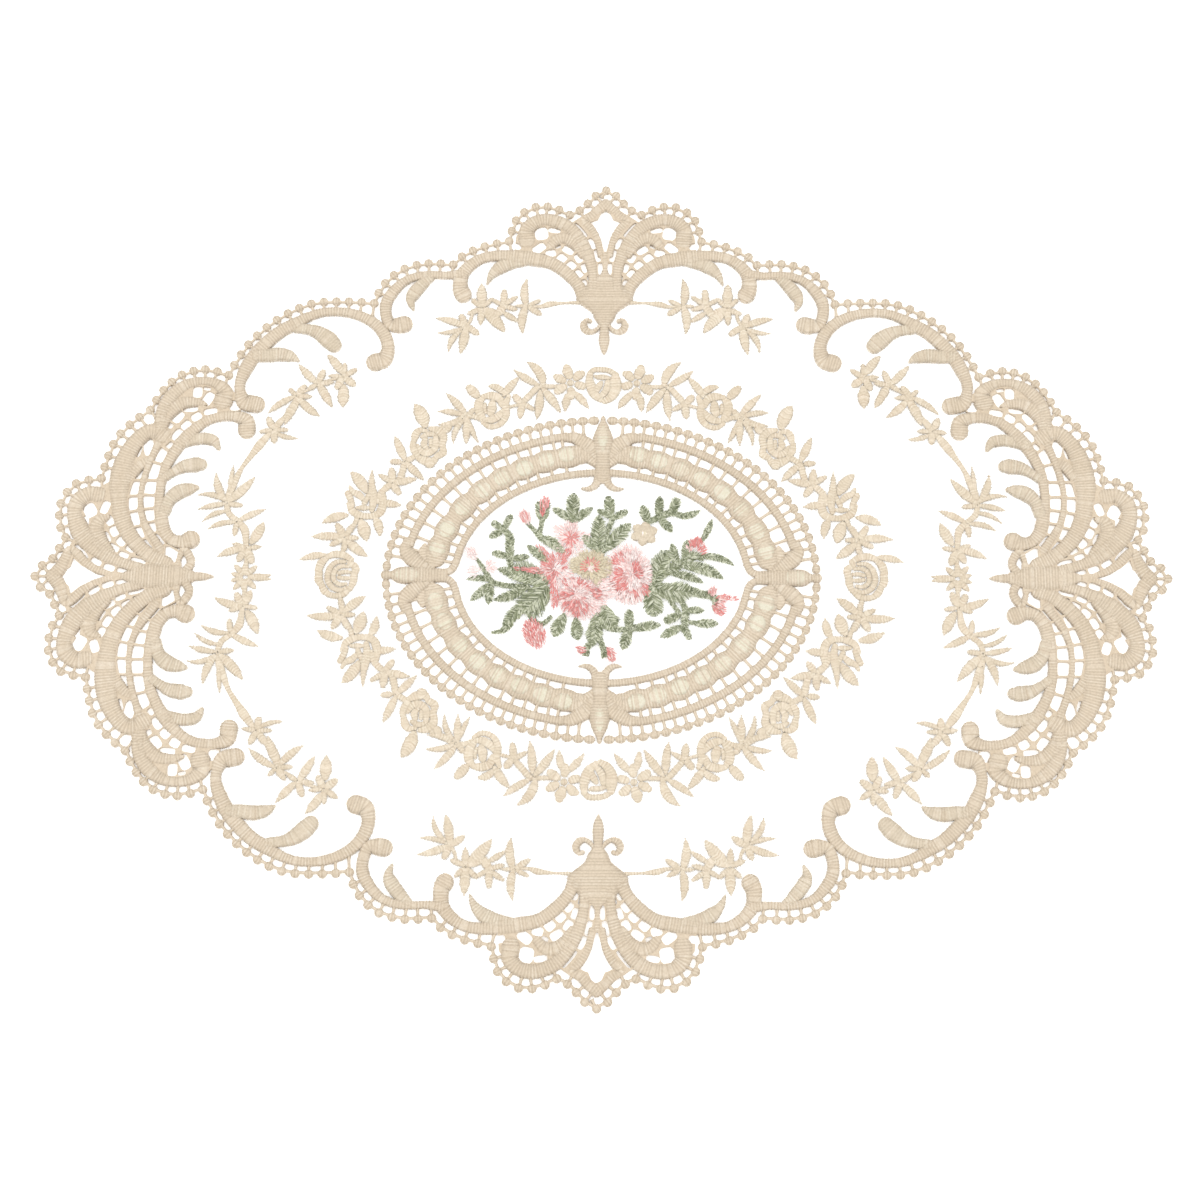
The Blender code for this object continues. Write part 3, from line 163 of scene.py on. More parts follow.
BORDER_BANDS = {
    "back_base": [
        (0, 270, 8), (0, 277, 19), (0, 285, 26), (0, 292, 44), (0, 298, 58), (0, 305, 57), (0, 313, 44),
        (0, 322, 24), (0, 330, 6), (0, 350, 5),
    ],
    "back_pendant": [(0, 275, 7), (0, 262, 9.5), (0, 254, 11), (0, 246, 8), (0, 240, 2.5)],
    "back_curl": [
        (3, 273, 3.5), (7, 267, 4), (13, 263.5, 5), (19, 265.5, 7.5), (21.5, 271, 7), (18.5, 276, 5),
        (14.5, 275.5, 4),
    ],
    "back_frame": [
        (5, 350, 6), (8, 366, 7), (14, 378, 8), (22, 388, 9), (15, 394, 9), (8, 401, 10), (0, 407, 12),
    ],
    "back_wing": [
        (13, 312, 9), (13, 330, 10), (18, 350, 12), (27, 368, 13), (40, 382, 14), (58, 389, 14),
        (73, 387, 14), (82, 378, 16), (82, 366, 18),
    ],
    "back_lobe": [(24, 350, 8), (31, 362, 13), (42, 368, 13), (51, 366, 12), (57, 360, 9)],
    "back_arch": [
        (22, 303, 14), (28, 316, 12), (40, 329.5, 13), (56, 340.5, 13), (75, 345, 15), (95, 348, 13),
        (112, 348.5, 11.5), (127, 346, 10.5), (140, 338, 12), (149, 326, 14), (150, 312, 16),
        (147, 305, 18),
    ],
    "back_arch_leaf": [
        (82, 342, 8), (97, 340.5, 13), (109, 335.5, 14), (118, 326.5, 8), (122.5, 316.5, 1.5),
    ],
    "scallop_b": [
        (150, 328, 10), (165, 326.3, 7.5), (180, 326.8, 8), (195, 325, 8.5), (208, 319.5, 9),
        (218.5, 309, 11), (225.5, 297, 12), (226.5, 285, 11.5), (222, 272, 12), (213, 270.5, 17),
        (207, 271.5, 18),
    ],
    "frond_b": [(181, 324, 8), (190.5, 315.5, 13), (198.5, 305, 13.5), (201, 297, 9), (198, 288, 2.5)],
    "scallop_c": [
        (235, 229.5, 19), (226, 233, 17), (222.5, 244, 13), (225, 256, 13), (232, 267, 12), (243, 276, 11),
        (258, 282.5, 10), (275, 285.3, 9), (292, 284.3, 9), (307, 279, 10), (321, 271, 13),
        (335, 262.5, 13.5), (348, 250.5, 14), (359, 237.5, 14), (367, 223, 14), (372.5, 208, 11),
        (372, 196, 11), (367, 186, 17), (355, 183, 18),
    ],
    "frond_c1": [(318, 267, 10), (305, 265.5, 11), (294, 261.5, 15), (284, 254, 18), (278.5, 248.5, 16)],
    "frond_c2": [(357, 236, 12), (345, 236.8, 14), (333, 237.8, 14.5), (322, 235.5, 11), (314.5, 231.3, 3)],
    "side_base": [(412, 0, 14), (424, 0, 22), (436, 0, 27), (450, 0, 26), (465, 0, 20), (480, 0, 5)],
    "side_pendant": [(414, 0, 8), (403, 0, 8.5), (394, 0, 6), (388, 0, 1.5)],
    "side_loop": [(416, 5, 9), (411, 14, 8), (413.5, 22, 8.5), (419, 27, 8), (423, 19, 5), (424, 11, 6)],
    "side_upper": [
        (389, 187, 20), (388, 197, 16), (398, 205.5, 11), (412, 208, 9), (425, 205, 11), (437, 197, 14),
        (446, 186, 14), (451, 173, 12), (451, 160, 12),
    ],
    "side_upper_arm": [
        (407, 183, 4), (416, 185, 9), (428, 184.5, 12), (438, 179, 14), (446, 169, 13), (449, 158, 10),
    ],
    "side_scroll": [
        (363, 155, 18), (364.5, 165, 16), (375, 169.8, 11), (390, 169.5, 9.5), (403, 165.5, 9.5),
        (415, 157, 11), (426, 145, 13), (434.5, 132, 11), (441.5, 118, 10), (445.5, 103, 9.5),
        (446.8, 88, 8.5), (446.3, 75, 9), (443.5, 60, 13), (440, 48, 12.5), (432, 38.5, 12), (422, 36, 14),
        (413, 38.5, 19),
    ],
    "frond_s1": [(430, 141, 12), (418, 144.5, 12), (406, 146, 12), (396, 143.5, 11), (390.5, 135.5, 4)],
    "frond_s2": [(442, 105, 9), (434, 110.5, 9), (424, 116, 13), (412, 118, 15.5), (407, 118, 12)],
    "frond_s3": [(441, 68, 12), (437, 80, 13), (428, 88.5, 15.5), (417, 92, 12), (410, 93.3, 5)],
    "side_big": [
        (436, 14, 14), (450, 20, 15), (463, 30, 15), (475, 44, 16), (483, 60, 17), (487, 78, 17),
        (488, 98, 22), (485, 120, 21), (478, 138, 17), (466, 151.5, 16), (455, 153, 17), (448, 149, 18),
    ],
    "side_big_leaf": [(456, 124, 3), (463, 121, 8), (470, 116, 11), (477, 107, 11), (481, 97, 6)],
    "side_mid_bar": [
        (452, 140, 8), (459, 122, 6.5), (463.5, 105, 6), (466, 90, 5), (465.5, 75, 5), (462, 60, 6),
        (456, 48, 7), (449, 38, 8), (443, 29, 9),
    ],
    "side_wing": [
        (462, 8, 12), (480, 14, 10), (497, 22, 14), (512, 33, 18), (524, 47, 20), (531, 64, 15.5),
        (529, 78, 17), (519, 86, 16), (509, 85.5, 17),
    ],
    "side_lobe": [(493, 25, 10), (503, 36, 15), (508, 48, 16), (505, 58, 12), (498, 62, 5)],
    "side_frame": [
        (488, 1.5, 4), (503, 6, 7), (516, 14, 8), (526, 24, 9), (533, 27, 9), (537, 18, 11), (541, 9, 13),
        (548, 0, 14),
    ],
}
PALE_BANDS = ("back_arch_leaf", "frond_b", "frond_c1", "frond_c2", "frond_s1", "frond_s2", "frond_s3")
FAN_BANDS = ("side_base", "side_upper", "side_upper_arm", "side_big", "side_mid_bar", "side_wing",
             "side_lobe", "side_frame", "back_base", "back_frame", "back_wing", "back_lobe")

# the worked ground of the fans, and its openings
BACK_FAN_GROUND = [
    (0, 312), (26, 312), (45, 338), (63, 350), (95, 352), (93, 370), (80, 388), (60, 393), (35, 386),
    (28, 391), (14, 400), (0, 412),
]
SIDE_FAN_GROUND = [
    (420, 0), (421, 26), (437, 34), (447, 60), (448, 100), (440, 133), (425, 148), (405, 163), (385, 173),
    (370, 176), (374, 192), (386, 203), (410, 208), (437, 200), (450, 184), (458, 162), (478, 150),
    (490, 130), (497, 100), (512, 90), (532, 78), (534, 60), (529, 40), (534, 30), (541, 15), (550, 0),
]
STAR_BACK = [
    (0, 401), (5, 397), (8, 390), (12, 388.7), (17, 386), (13, 380), (8, 374), (3.5, 361), (0, 349),
]
STAR_SIDE = [(495, 0), (508, 5), (520, 11), (529, 19), (531.5, 10), (538, 5), (541, 0)]
OPENINGS = table(Opening, [
    # back fan: slits, lobes, cells
    (4.8, 333.5, 13, 4, 87), (8.2, 348.5, 13.5, 4.5, 76), (14, 362.2, 12.5, 5, 62), (26, 377.5, 19, 4, 50),
    (53.5, 377.3, 12, 5.5, 8), (67, 373.7, 14, 13, 80), (69, 357, 14, 9, -38), (38.5, 355, 12, 8, 30),
    (49.7, 359, 5.5, 4, -20), (27.7, 345.8, 10, 7, 62), (45.3, 345.7, 9.5, 9, 42),
    (56.8, 351.2, 10, 8, -15), (21.3, 334.5, 10, 5.5, 70), (35.5, 337.3, 9.2, 9.2, 45),
    (27.8, 328, 9, 8, 50), (15.5, 318, 15, 2.6, 76), (21.5, 316.7, 9, 5.5, 75), (93, 359, 10, 6.5, 10),
    # scallop joint
    (235.5, 283, 14, 6, -68),
    # side fan, upper wheel
    (376.3, 181.5, 10, 10.5, 0), (404.5, 188.5, 15, 9.5, -60), (415.5, 196, 11.5, 9, 90),
    (406, 199.6, 7, 3, 10), (401, 175, 13, 6.5, -10), (421.5, 178, 14.5, 6.5, -4), (415, 169.3, 10, 8, -30),
    (434.5, 169.5, 13, 11, -55), (425, 160, 10, 8, -45), (442, 159.7, 7, 5, 30),
    (433.5, 149.7, 12.5, 8, -52), (440.3, 138.3, 6.5, 4.5, -45),
    # side fan, big lobe
    (461.5, 136.5, 18, 10, 78), (471.7, 131.5, 11, 5.5, -75), (477.3, 124, 7, 3, -60),
    # side fan, wing lobes and cells
    (501, 72, 13, 8, -70), (516, 69, 14.5, 11.5, 60), (519, 57.5, 10, 5, 85), (495.5, 58, 10, 7, 60),
    (490, 46.8, 10.5, 7.5, 60), (497.5, 40.2, 11.5, 6.5, 60), (482, 36.3, 9.5, 8, 40),
    (489.5, 29.5, 11.5, 6, 28), (472.5, 28.5, 9, 5.5, 30), (478.7, 22, 10, 5, 22),
    (462.5, 22.5, 6.5, 3, 15), (463.5, 16, 15, 4, 14),
    # side fan, slits
    (477.5, 5.8, 13, 4.2, 8), (492.3, 8.8, 11, 6, 18), (505.5, 15, 11, 6, 40), (521, 25.5, 19, 4, 50),
    # base
    (418, 15, 8, 4, 60),
])
BASE_WINDOW = [(423.5, 25), (434, 31.5), (437.5, 31), (437.5, 22), (434, 14.5), (426, 14)]

# each rung of a ladder by its two ends
LADDER_LEFT = [
    ((441, 132), (449, 138)), ((447, 118), (458, 121)), ((450.5, 101), (462, 101)),
    ((451.5, 85), (464, 85.5)), ((451.5, 71.5), (463.5, 70)), ((449.8, 57.5), (459, 56)),
    ((447, 45.5), (454.5, 43.5)), ((437, 33), (443, 30)),
]
LADDER_RIGHT = [
    ((463.5, 117), (466, 117)), ((467, 101), (474.5, 101)), ((468.5, 84.5), (478.5, 84)),
    ((468, 69), (477, 67)), ((463.5, 53), (471, 51)), ((458, 39.5), (463, 38)), ((449, 28), (454.5, 29)),
]

# ---------------- sprays and garland, one quarter
BACK_SPRAY_STEMS = [
    [(27, 296, 4), (40, 295.7, 2.6), (50, 295, 4.5), (58, 294, 6.5), (66, 291.5, 4), (74, 291.5, 2.5)],
    [(128, 286, 3), (136, 284, 3), (138, 277, 3.5), (142, 270, 4)],
]
BACK_SPRAY = table(Leaf, [
    (80, 291, 81, 322, 8.5, -3), (80, 294, 84, 262, 9, 3), (80, 292, 66, 299, 5.5), (80, 292, 65, 282, 7),
    (80, 292, 93, 292, 4.5), (105, 292, 104, 311, 7.5), (105, 293, 90, 303, 6), (104, 292, 118, 300, 5.5),
    (105, 292, 90, 288, 6), (103, 294, 112, 280, 9), (107, 286, 88, 274, 6.5), (127, 290, 128, 317, 10.5),
    (127, 290, 116, 301, 6), (127, 290, 138, 300, 6), (127, 289, 142, 283, 6.5), (127, 291, 128, 271, 7.5),
    (127, 289, 109, 283, 7.5), (126, 286, 103, 263, 12, -2), (143, 269, 149, 283, 7.5),
    (143, 270, 129, 260, 7.5), (143, 271, 148, 239, 9.5, -1), (146, 265, 160, 241, 6.5, 4),
    (143, 268, 174, 278, 8, 2), (145, 268, 172, 262, 5.5, -2),
])
SIDE_SPRAY_STEMS = [
    [(313, 196, 5), (304, 199, 3), (294, 206, 3), (283, 210, 3), (268, 214, 4)],
    [(313, 193, 6), (320, 178, 7), (327, 168, 5), (337, 156, 4)],
    [(338, 155, 4), (349, 141, 9), (358, 128, 6), (366, 116, 4.5), (371, 105, 6.5), (376, 92, 8),
     (379, 78, 6), (377, 67, 6), (368, 59, 6), (360, 50, 8), (358, 38, 6), (357, 28, 5), (356, 10, 4)],
]
SIDE_SPRAY = table(Leaf, [
    (268, 214, 254, 223, 6.5), (268, 213, 267, 229, 6.5), (268, 214, 283, 215, 5.5),
    (268, 214, 255, 204, 8.5), (268, 214, 275, 200, 8), (268, 216, 285, 238, 9.5, 1),
    (267, 206, 267, 181, 12), (294, 206, 288, 222, 7.5), (294, 206, 278, 208, 6), (294, 206, 305, 199, 6),
    (294, 206, 314, 227, 8.5, -0.5), (294, 208, 278, 181, 9), (315, 193, 306, 205, 7.5),
    (315, 193, 323, 201, 5.5), (315, 193, 299, 192, 6), (315, 193, 343, 174, 7.5, 2),
    (313, 192, 290, 171, 8.5, 2), (311, 190, 325, 162, 10, 2), (337, 156, 325, 171, 7.5),
    (337, 157, 343, 170, 7.5), (337, 156, 351, 154, 5.5), (337, 156, 321, 156, 5.5),
    (336, 154, 311, 147, 5.5, 2), (336, 156, 335, 142, 8), (379, 78, 353, 105, 10, 1),
    (378, 90, 375, 118, 5), (380, 80, 392, 109, 8, -3), (381, 79, 409, 86, 6, 4),
    (379, 77, 408, 71, 6.5, 1), (379, 77, 363, 75, 6), (377, 69, 403, 58, 5.5, 3),
    (368, 58, 340, 71, 7.5, -1), (368, 57, 397, 50, 6.5, 3), (368, 58, 370, 43, 6.5),
    (354, 34, 341, 58, 11, 1), (357, 30, 342, 32, 5.5), (357, 30, 371, 35, 6), (357, 30, 386, 21, 8.5, 2),
    (357, 30, 350, 14, 9), (358, 30, 365, 16, 8),
])
# half of the small flower in the middle of a side spray
SIDE_BLOOM_PETALS = table(Leaf, [
    (357, 2, 357, 15, 7.5), (358, 2, 368, 13, 6.5), (356, 2, 345, 12, 6.5), (359, 0.5, 371, 4, 5.5),
    (354, 1, 330, 2.5, 6.5, 1),
])
GARLAND_STEMS = [
    [(14, 206, 5), (26, 206, 5)],
    [(46, 204, 4.5), (56, 204, 5), (66, 204, 6), (75, 195, 7), (83, 186, 6), (90, 183, 3.5),
     (102, 180, 3.5)],
    [(124, 167, 4), (132, 171, 6), (140, 171, 7), (152, 165, 5), (166, 158, 5)],
    [(188, 130, 6), (194, 125, 6), (200, 121, 7), (203, 110, 7), (206, 101, 7), (213, 98, 7), (222, 90, 7),
     (226, 80, 8)],
    [(246, 62, 6), (249, 54, 5), (256, 42, 5), (258, 34, 5), (260, 22, 5)],
]
GARLAND_LEAVES = table(Leaf, [
    (32, 199, 15, 180, 8, -1), (35, 198, 39, 177, 8, 1), (62, 203, 79, 231, 10, 5),
    (66, 205, 92, 222, 8, -1), (64, 203, 44, 176, 9, -1), (65, 201, 68, 168, 9, -1), (84, 185, 92, 195, 8),
    (84, 186, 70, 178, 6), (83, 187, 85, 169, 8), (103, 192, 87, 214, 9, -1), (102, 195, 118, 204, 8, 3),
    (127, 191, 140, 205, 10), (139, 171, 161, 196, 8, 1), (141, 171, 169, 176, 7, 2),
    (143, 168, 168, 162, 7, -2), (139, 170, 127, 143, 6, 1), (139, 172, 139, 141, 8),
    (140, 169, 152, 141, 6.5, 4), (139, 169, 132, 180, 7), (181, 157, 193, 184, 14, 2),
    (176, 126, 175, 115, 10), (163, 153, 155, 161, 8), (200, 122, 212, 149, 9), (201, 122, 181, 102, 8),
    (203, 121, 216, 122, 7), (212, 98, 214, 115, 8), (212, 99, 227, 108, 6.5), (210, 97, 188, 103, 8, -1),
    (213, 98, 204, 86, 7.5), (225, 78, 203, 75, 8), (230.5, 70, 233.5, 113, 7.5, -1),
    (238, 87, 255, 110, 12, 2), (255, 64, 281, 56, 10, 2), (230, 63, 223, 42, 9, -2),
    (244, 60, 236, 37, 13, -1), (258, 41, 249, 56, 7), (258, 40, 267, 55, 8), (259, 40, 244, 40, 6),
    (258, 40, 273, 32, 7), (258, 41, 257, 26, 6), (259, 41, 292, 41, 9, 1), (256, 38, 235, 21, 10, 1),
])
SIDE_ROSE_LEAF = Leaf(275, 22, 302, 17, 8, 1.5)     # at the back of each side rose only

# the garland's roses: each petal is a curved run of satin, measured from the rose's middle
TOP_ROSE = [
    [(12, 11.5, 8), (12, 4, 13), (12, -4, 12), (8, -12, 10), (1.5, -16.5, 7)],
    [(-14, 12.5, 7), (-14.5, 6, 9), (-13, -1, 11), (-9.5, -9, 10), (-3, -15, 7)],
    [(11, 13.5, 6), (5, 17, 6.5), (-3, 18, 6.5), (-10, 17.5, 6.5), (-14.5, 13.5, 6)],
    [(6, 8.5, 4), (0, 9.4, 6.2), (-6, 9.6, 5.5), (-9, 10.5, 3)],
    [(-3, 2.5, 6), (-5.8, -2, 8), (-8.5, -7.5, 6)],
    [(4.5, 3.5, 7), (3.5, -2.5, 8), (1, -7.5, 7.5), (-2.5, -11.5, 6)],
]
SECOND_ROSE = [
    [(-18, 13, 5), (-15, 4, 8), (-16, -6, 8), (-13, -14, 7), (-7, -19, 6), (1, -20, 6), (8, -16, 4)],
    [(-11.5, 4, 7), (-8, 11, 9.5), (0, 13.5, 9.5), (7, 13, 6)],
    [(8, 12.5, 6), (12, 6, 10), (12, -3, 10), (8, -10, 7)],
    [(-12, -3, 5), (-8, -8.5, 9), (-1, -12.5, 9), (6, -13, 5)],
    [(-1.5, 5, 8), (-1, -1, 11), (0, -5, 8)],
    [(6, 4, 4), (6.5, 0, 5), (5, -4.5, 4)],
]
THIRD_ROSE = [
    [(-2, 17, 5), (-10, 15, 9), (-16, 8, 9), (-15, -2, 7)],
    [(-16, -4, 7), (-16, -10, 9), (-10, -14, 7)],
    [(-10, -15, 5), (-5, -20, 10), (3, -19, 10), (11, -15, 6)],
    [(11, -13, 6), (15, -6, 8), (16, 1, 6)],
    [(15, 3, 6), (13, 11, 9), (9, 15, 7), (3, 15, 5)],
    [(-8, 8, 6), (-8.5, -1, 8), (-6, -7, 8), (1, -10.5, 9), (7, -8, 7), (11, -2, 4)],
    [(-6, 10.5, 5), (0, 11, 7), (6, 8, 5)],
    [(-3, 4, 5), (-3, -2, 5)],
    [(3, 5, 6), (4, -1, 8), (1, -5, 5)],
]
FOURTH_ROSE = [
    [(-8, 18, 5), (-9, 10, 8), (-9, 0, 8), (-8, -7, 6)],
    [(-18, 11, 6), (-19, 0, 9), (-16, -10, 9), (-8, -14, 7)],
    [(-12, -13, 7), (-2, -14, 7), (6, -12, 8), (12, -8, 8), (15, -1, 6)],
    [(17, 10, 7), (14, 4, 7), (12, -2, 6)],
    [(-6, 14, 5), (-3, 6, 6), (0, 0, 6)],
    [(15, 17, 4), (12, 12, 6), (6, 9, 8), (2, 5, 6)],
    [(-5, -5, 4), (1, -5, 6.5), (7, -5, 4)],
]
SIDE_ROSE = [
    [(-15, 19, 6), (-6, 24, 8), (4, 25, 8), (12, 22, 6)],
    [(13, 20, 6), (18, 15, 9), (21, 6, 8)],
    [(20, 5, 8), (20, -4, 9), (16, -11, 7)],
    [(16, -12, 7), (13, -17, 8), (8, -21, 6)],
    [(9, -21, 6), (0, -22.5, 7), (-8, -20.5, 7), (-14, -15, 5)],
    [(-15, -14, 6), (-18, -6, 8), (-18.5, 2, 8)],
    [(-19, 3, 8), (-20, 10, 8), (-13, 15, 6)],
    [(-8, 16.5, 4), (0, 16.5, 5.5), (6.5, 12, 6.5), (10, 4, 7), (10, -5, 7), (5, -12.5, 6.5),
     (-3.5, -16, 5.5), (-12, -13, 4)],
    [(-12, 11, 4), (-5, 11.5, 5), (1.5, 8, 5.5), (4, 1.5, 6), (3, -5, 5.5), (-3, -9.5, 5), (-10, -9, 4)],
    [(-14, 4.5, 4), (-8, 5, 5), (-2, 3.5, 5)],
    [(-14, -2.2, 4), (-8, -2.4, 5), (-2, -1.5, 5)],
]
GARLAND_ROSES = table(Rose, [
    (0, 205, 1.0, TOP_ROSE), (115, 180, 1.0, SECOND_ROSE), (178, 141, 0.96, THIRD_ROSE),
    (240, 77, 1.0, FOURTH_ROSE), (264, 0, 0.91, SIDE_ROSE),
])
BLOOM_MIDDLE = (34, 208)    # a small flower on each side of the back and the front rose
BLOOM_PETALS = [
    [(1.5, 8.5, 9), (3.3, 13, 11.5), (4, 16.5, 8)],
    [(8, 3, 8), (11.5, 4.8, 10), (14.5, 6.5, 7)],
    [(-6, 6, 8), (-8.8, 9, 10), (-11.5, 10.3, 7)],
    [(-8, -2, 8), (-10.5, -3, 9), (-12.5, -4, 7)],
    [(7, -4.5, 8), (10.4, -6.5, 10.5), (13, -9, 8)],
    [(-0.5, -8.5, 8), (-1.3, -12, 10), (-1, -15, 7)],
]
BLOOM_EYE = 7.2             # across the bead in its middle

# ---------------- medallion ring, one quarter
PICOT_LINE = Ring(215.3, 165.8, 0.0)
OUTER_BAND = Ring(197.0, 150.5, 8.0)
BEAD_BAND = Ring(168, 129, 23.5)
INNER_BAND = Ring(146.5, 109.3, 7.0)
RING_PICOTS = 26            # in a quarter
PICOT_START = 9.6           # from a fleur's middle to the first and the last of them, along their line
TIP_BAR_BASE = (207.0, 0.0) # where the bar under the picot at each side starts
TIP_BAR = 4.0               # and its width
# the thread bars inwards of the outer band and of the beads, in degrees, then their length at the back
# and how much longer they are at the side
MIDDLE_BARS = [12.3, 15.2, 19.0, 22.7, 26.8, 30.7, 35.6, 40.2, 45.3, 50.6, 56.2, 61.8, 67.8, 74.0, 79.5]
MIDDLE_DEPTH = (21.5, 7.5)
INNER_BARS = [13.3, 19.0, 24.4, 28.5, 32.8, 37.4, 42.5, 47.0, 52.2, 56.8, 62.0, 67.2, 73.0, 78.5, 82.7]
INNER_DEPTH = (19.7, 1.8)
BEADS = [(36, 128), (57, 121.5), (79, 113), (101, 102.5), (121, 89), (140, 71), (155.5, 48), (164.5, 27.3)]
BEAD_LENGTH = 18.0
BEAD_WIDTH = 17.0
NECK = 0.76                 # width of the bead band between two beads, as a share of its width at a bead
NECK_REACH = 12             # from a bead's middle to where the band is narrowest

RING_PETAL = [(0, 168, 4), (0, 164, 5), (0, 159, 11), (0, 151, 17.5), (0, 143, 20.5), (0, 134, 17),
              (0, 126, 13), (0, 116, 15), (0, 109, 15.5), (0, 105, 14)]
RING_UPPER_LOBE = [(3.3, 124, 9), (11.6, 135.5, 15), (20.4, 142, 15), (29, 146.5, 11.5), (38, 146.6, 8)]
RING_LOWER_LOBE = [(5.5, 119, 9), (14.5, 127, 14), (23.2, 131, 15.5), (31.5, 129.5, 16), (39, 127.5, 17)]
RING_CURL = [(4.4, 107, 8), (5.2, 99.5, 7.5), (9.2, 94.2, 6.5), (15, 91.9, 4.5), (21, 92.4, 1.5)]
SIDE_PETAL = [(156, 0, 5), (160, 0, 9), (168, 0, 14), (176, 0, 16), (184, 0, 16.5), (190, 0, 17),
              (197, 0, 17.5), (204, 0, 15), (209, 0, 8)]
SIDE_CURL = [(173, 5, 9), (183.5, 12.5, 14), (191.5, 19.5, 16.5), (196.4, 27, 13), (195.3, 35, 8)]
SIDE_TOOTH = [(173, 8, 14), (176.5, 17, 15), (178, 25, 12), (177.5, 30, 6)]
SIDE_TURN = [(146.6, 11, 7), (150.3, 5.8, 7), (156.5, 3.2, 7), (166, 3.2, 8)]
RING_GLOSS = Leaf(0, 158.5, 0, 132, 12)      # the pale middle of the two kinds of fleur
SIDE_GLOSS = Leaf(182, 0, 209, 0, 15)
INNER_LAST = 84.0           # degrees: where the inner band leaves its oval for the side fleur
OUTER_FIRST, OUTER_LAST = 10.5, 78.5        # the ends of the outer band
CHAIN_FIRST, CHAIN_LAST = 7.0, 81.5         # and of the chain under the beads

# ---------------- bouquet, whole
BOUQUET_STEMS = [
    [(-72, -37, 5), (-66, -45, 5.5), (-58, -47.5, 5.5), (-50, -41, 4)],
    [(-90, -48, 8), (-97, -54.5, 5.5), (-107, -56.5, 3)],
    [(-43, 32, 7), (-52, 36, 8), (-62, 43, 7), (-67, 49, 5), (-75, 57, 4.5)],
    [(-63, 44, 5.5), (-61, 54, 5), (-60, 64, 7)],
    [(0, 27, 9), (4, 45, 7), (10, 60, 6), (9, 68, 6)],
    [(45, 58, 6), (54, 62, 7), (62, 66, 8), (70, 68, 7), (80, 66, 5)],
    [(52, -9, 12), (59, 3, 12), (70, 10, 12), (80, 15, 10), (92, 23, 11), (99, 22, 7)],
    [(64, -14, 5), (70, -25, 5), (77, -35, 5)],
    [(75, -14, 6), (80, -24, 6), (84, -33, 8), (83.5, -44, 8), (83, -53, 6)],
    [(83, -45, 4), (98, -46.5, 5)],
    [(-3, -44, 7), (6, -51, 6), (16, -53, 6), (28, -53, 7), (36, -51, 7)],
    [(-3, -54, 8), (0, -65, 6), (3, -73, 8), (4, -77, 9)],
    [(-5, -64, 7), (-13, -71, 8), (-14, -76, 8)],
    [(-74, -10, 8), (-88, -9, 6), (-101, -7, 6), (-110, -3, 6), (-117, 8, 5), (-125, 20, 3.5)],
    [(-86, 4, 8), (-91, 14, 7), (-92, 30, 10), (-93, 44, 8), (-99, 50, 7)],
    [(84, -12, 10), (98, -16, 9), (108, -18, 8), (114, -22, 10), (115, -28, 10)],
]
BOUQUET_LEAVES = table(Leaf, [
    (-30, 58, -29, 89, 15), (-29, 60, -50, 73, 9), (-31, 58, -9, 74, 9.5), (-4, 26, -3, 66, 16),
    (-3, 28, -19, 44, 11), (1, 28, 29, 57, 16), (9, 62, 6, 86, 12), (11, 63, -5, 71, 7), (9, 62, 26, 70, 8),
    (47, 57, 40, 76, 11), (57, 63, 58, 86, 10), (69, 66, 76, 84, 11), (74, 66, 99, 71, 8, -3),
    (57, 64, 71, 48, 10), (54, -4, 68, 28, 20, 3), (76, 11, 70, 36, 10), (83, 16, 86, 40, 10),
    (99, 37, 111, 62, 7.5, -1), (96, 22, 133, 13, 8, 4), (78, 13, 122, -1, 13, 4), (68, 5, 102, -5, 9, 2),
    (52, -9, 92, -13, 22, -3), (50, -8, 53.5, -39.5, 21), (83, -33, 103, -33.5, 8), (80, -37, 63, -45, 10),
    (92, -46.5, 117, -47, 10), (82, -49, 59, -61, 10), (82.5, -49, 88.5, -63.5, 8),
    (3, -28, 16, -50, 19, -3), (28, -55, 28, -32, 11), (29, -50, 22, -74, 12), (31, -53, 60, -48.5, 11, 1),
    (-3, -36, -8, -70, 17), (2, -40, -4, -50, 10), (-36, -37, -46.5, -60.5, 14.5),
    (-25, -41, -22.5, -64, 13), (-53, -6, -91, 8, 24, -2), (-54, -8, -76, -37, 30),
    (-74, -10, -107, -23, 11, 2), (-70, -6, -104, 9, 12, -2), (-108, -3, -135, -2, 7, -2),
    (-107, -4, -130, -24, 10), (-110, -3, -112, -28, 10), (-66, -26, -97, -54, 14, -5),
    (-99, 51, -111, 58, 8), (-99, 50, -91, 66, 8), (-98, 50, -113, 42, 8), (-92, 22, -110, 26, 8),
    (-92, 19, -72, 22, 8), (-60, 60, -60, 80, 17), (-53, 16, -75, 34, 10), (-59, 42, -36, 25.5, 9.5),
    (-57, 43, -43, 34, 9),
])

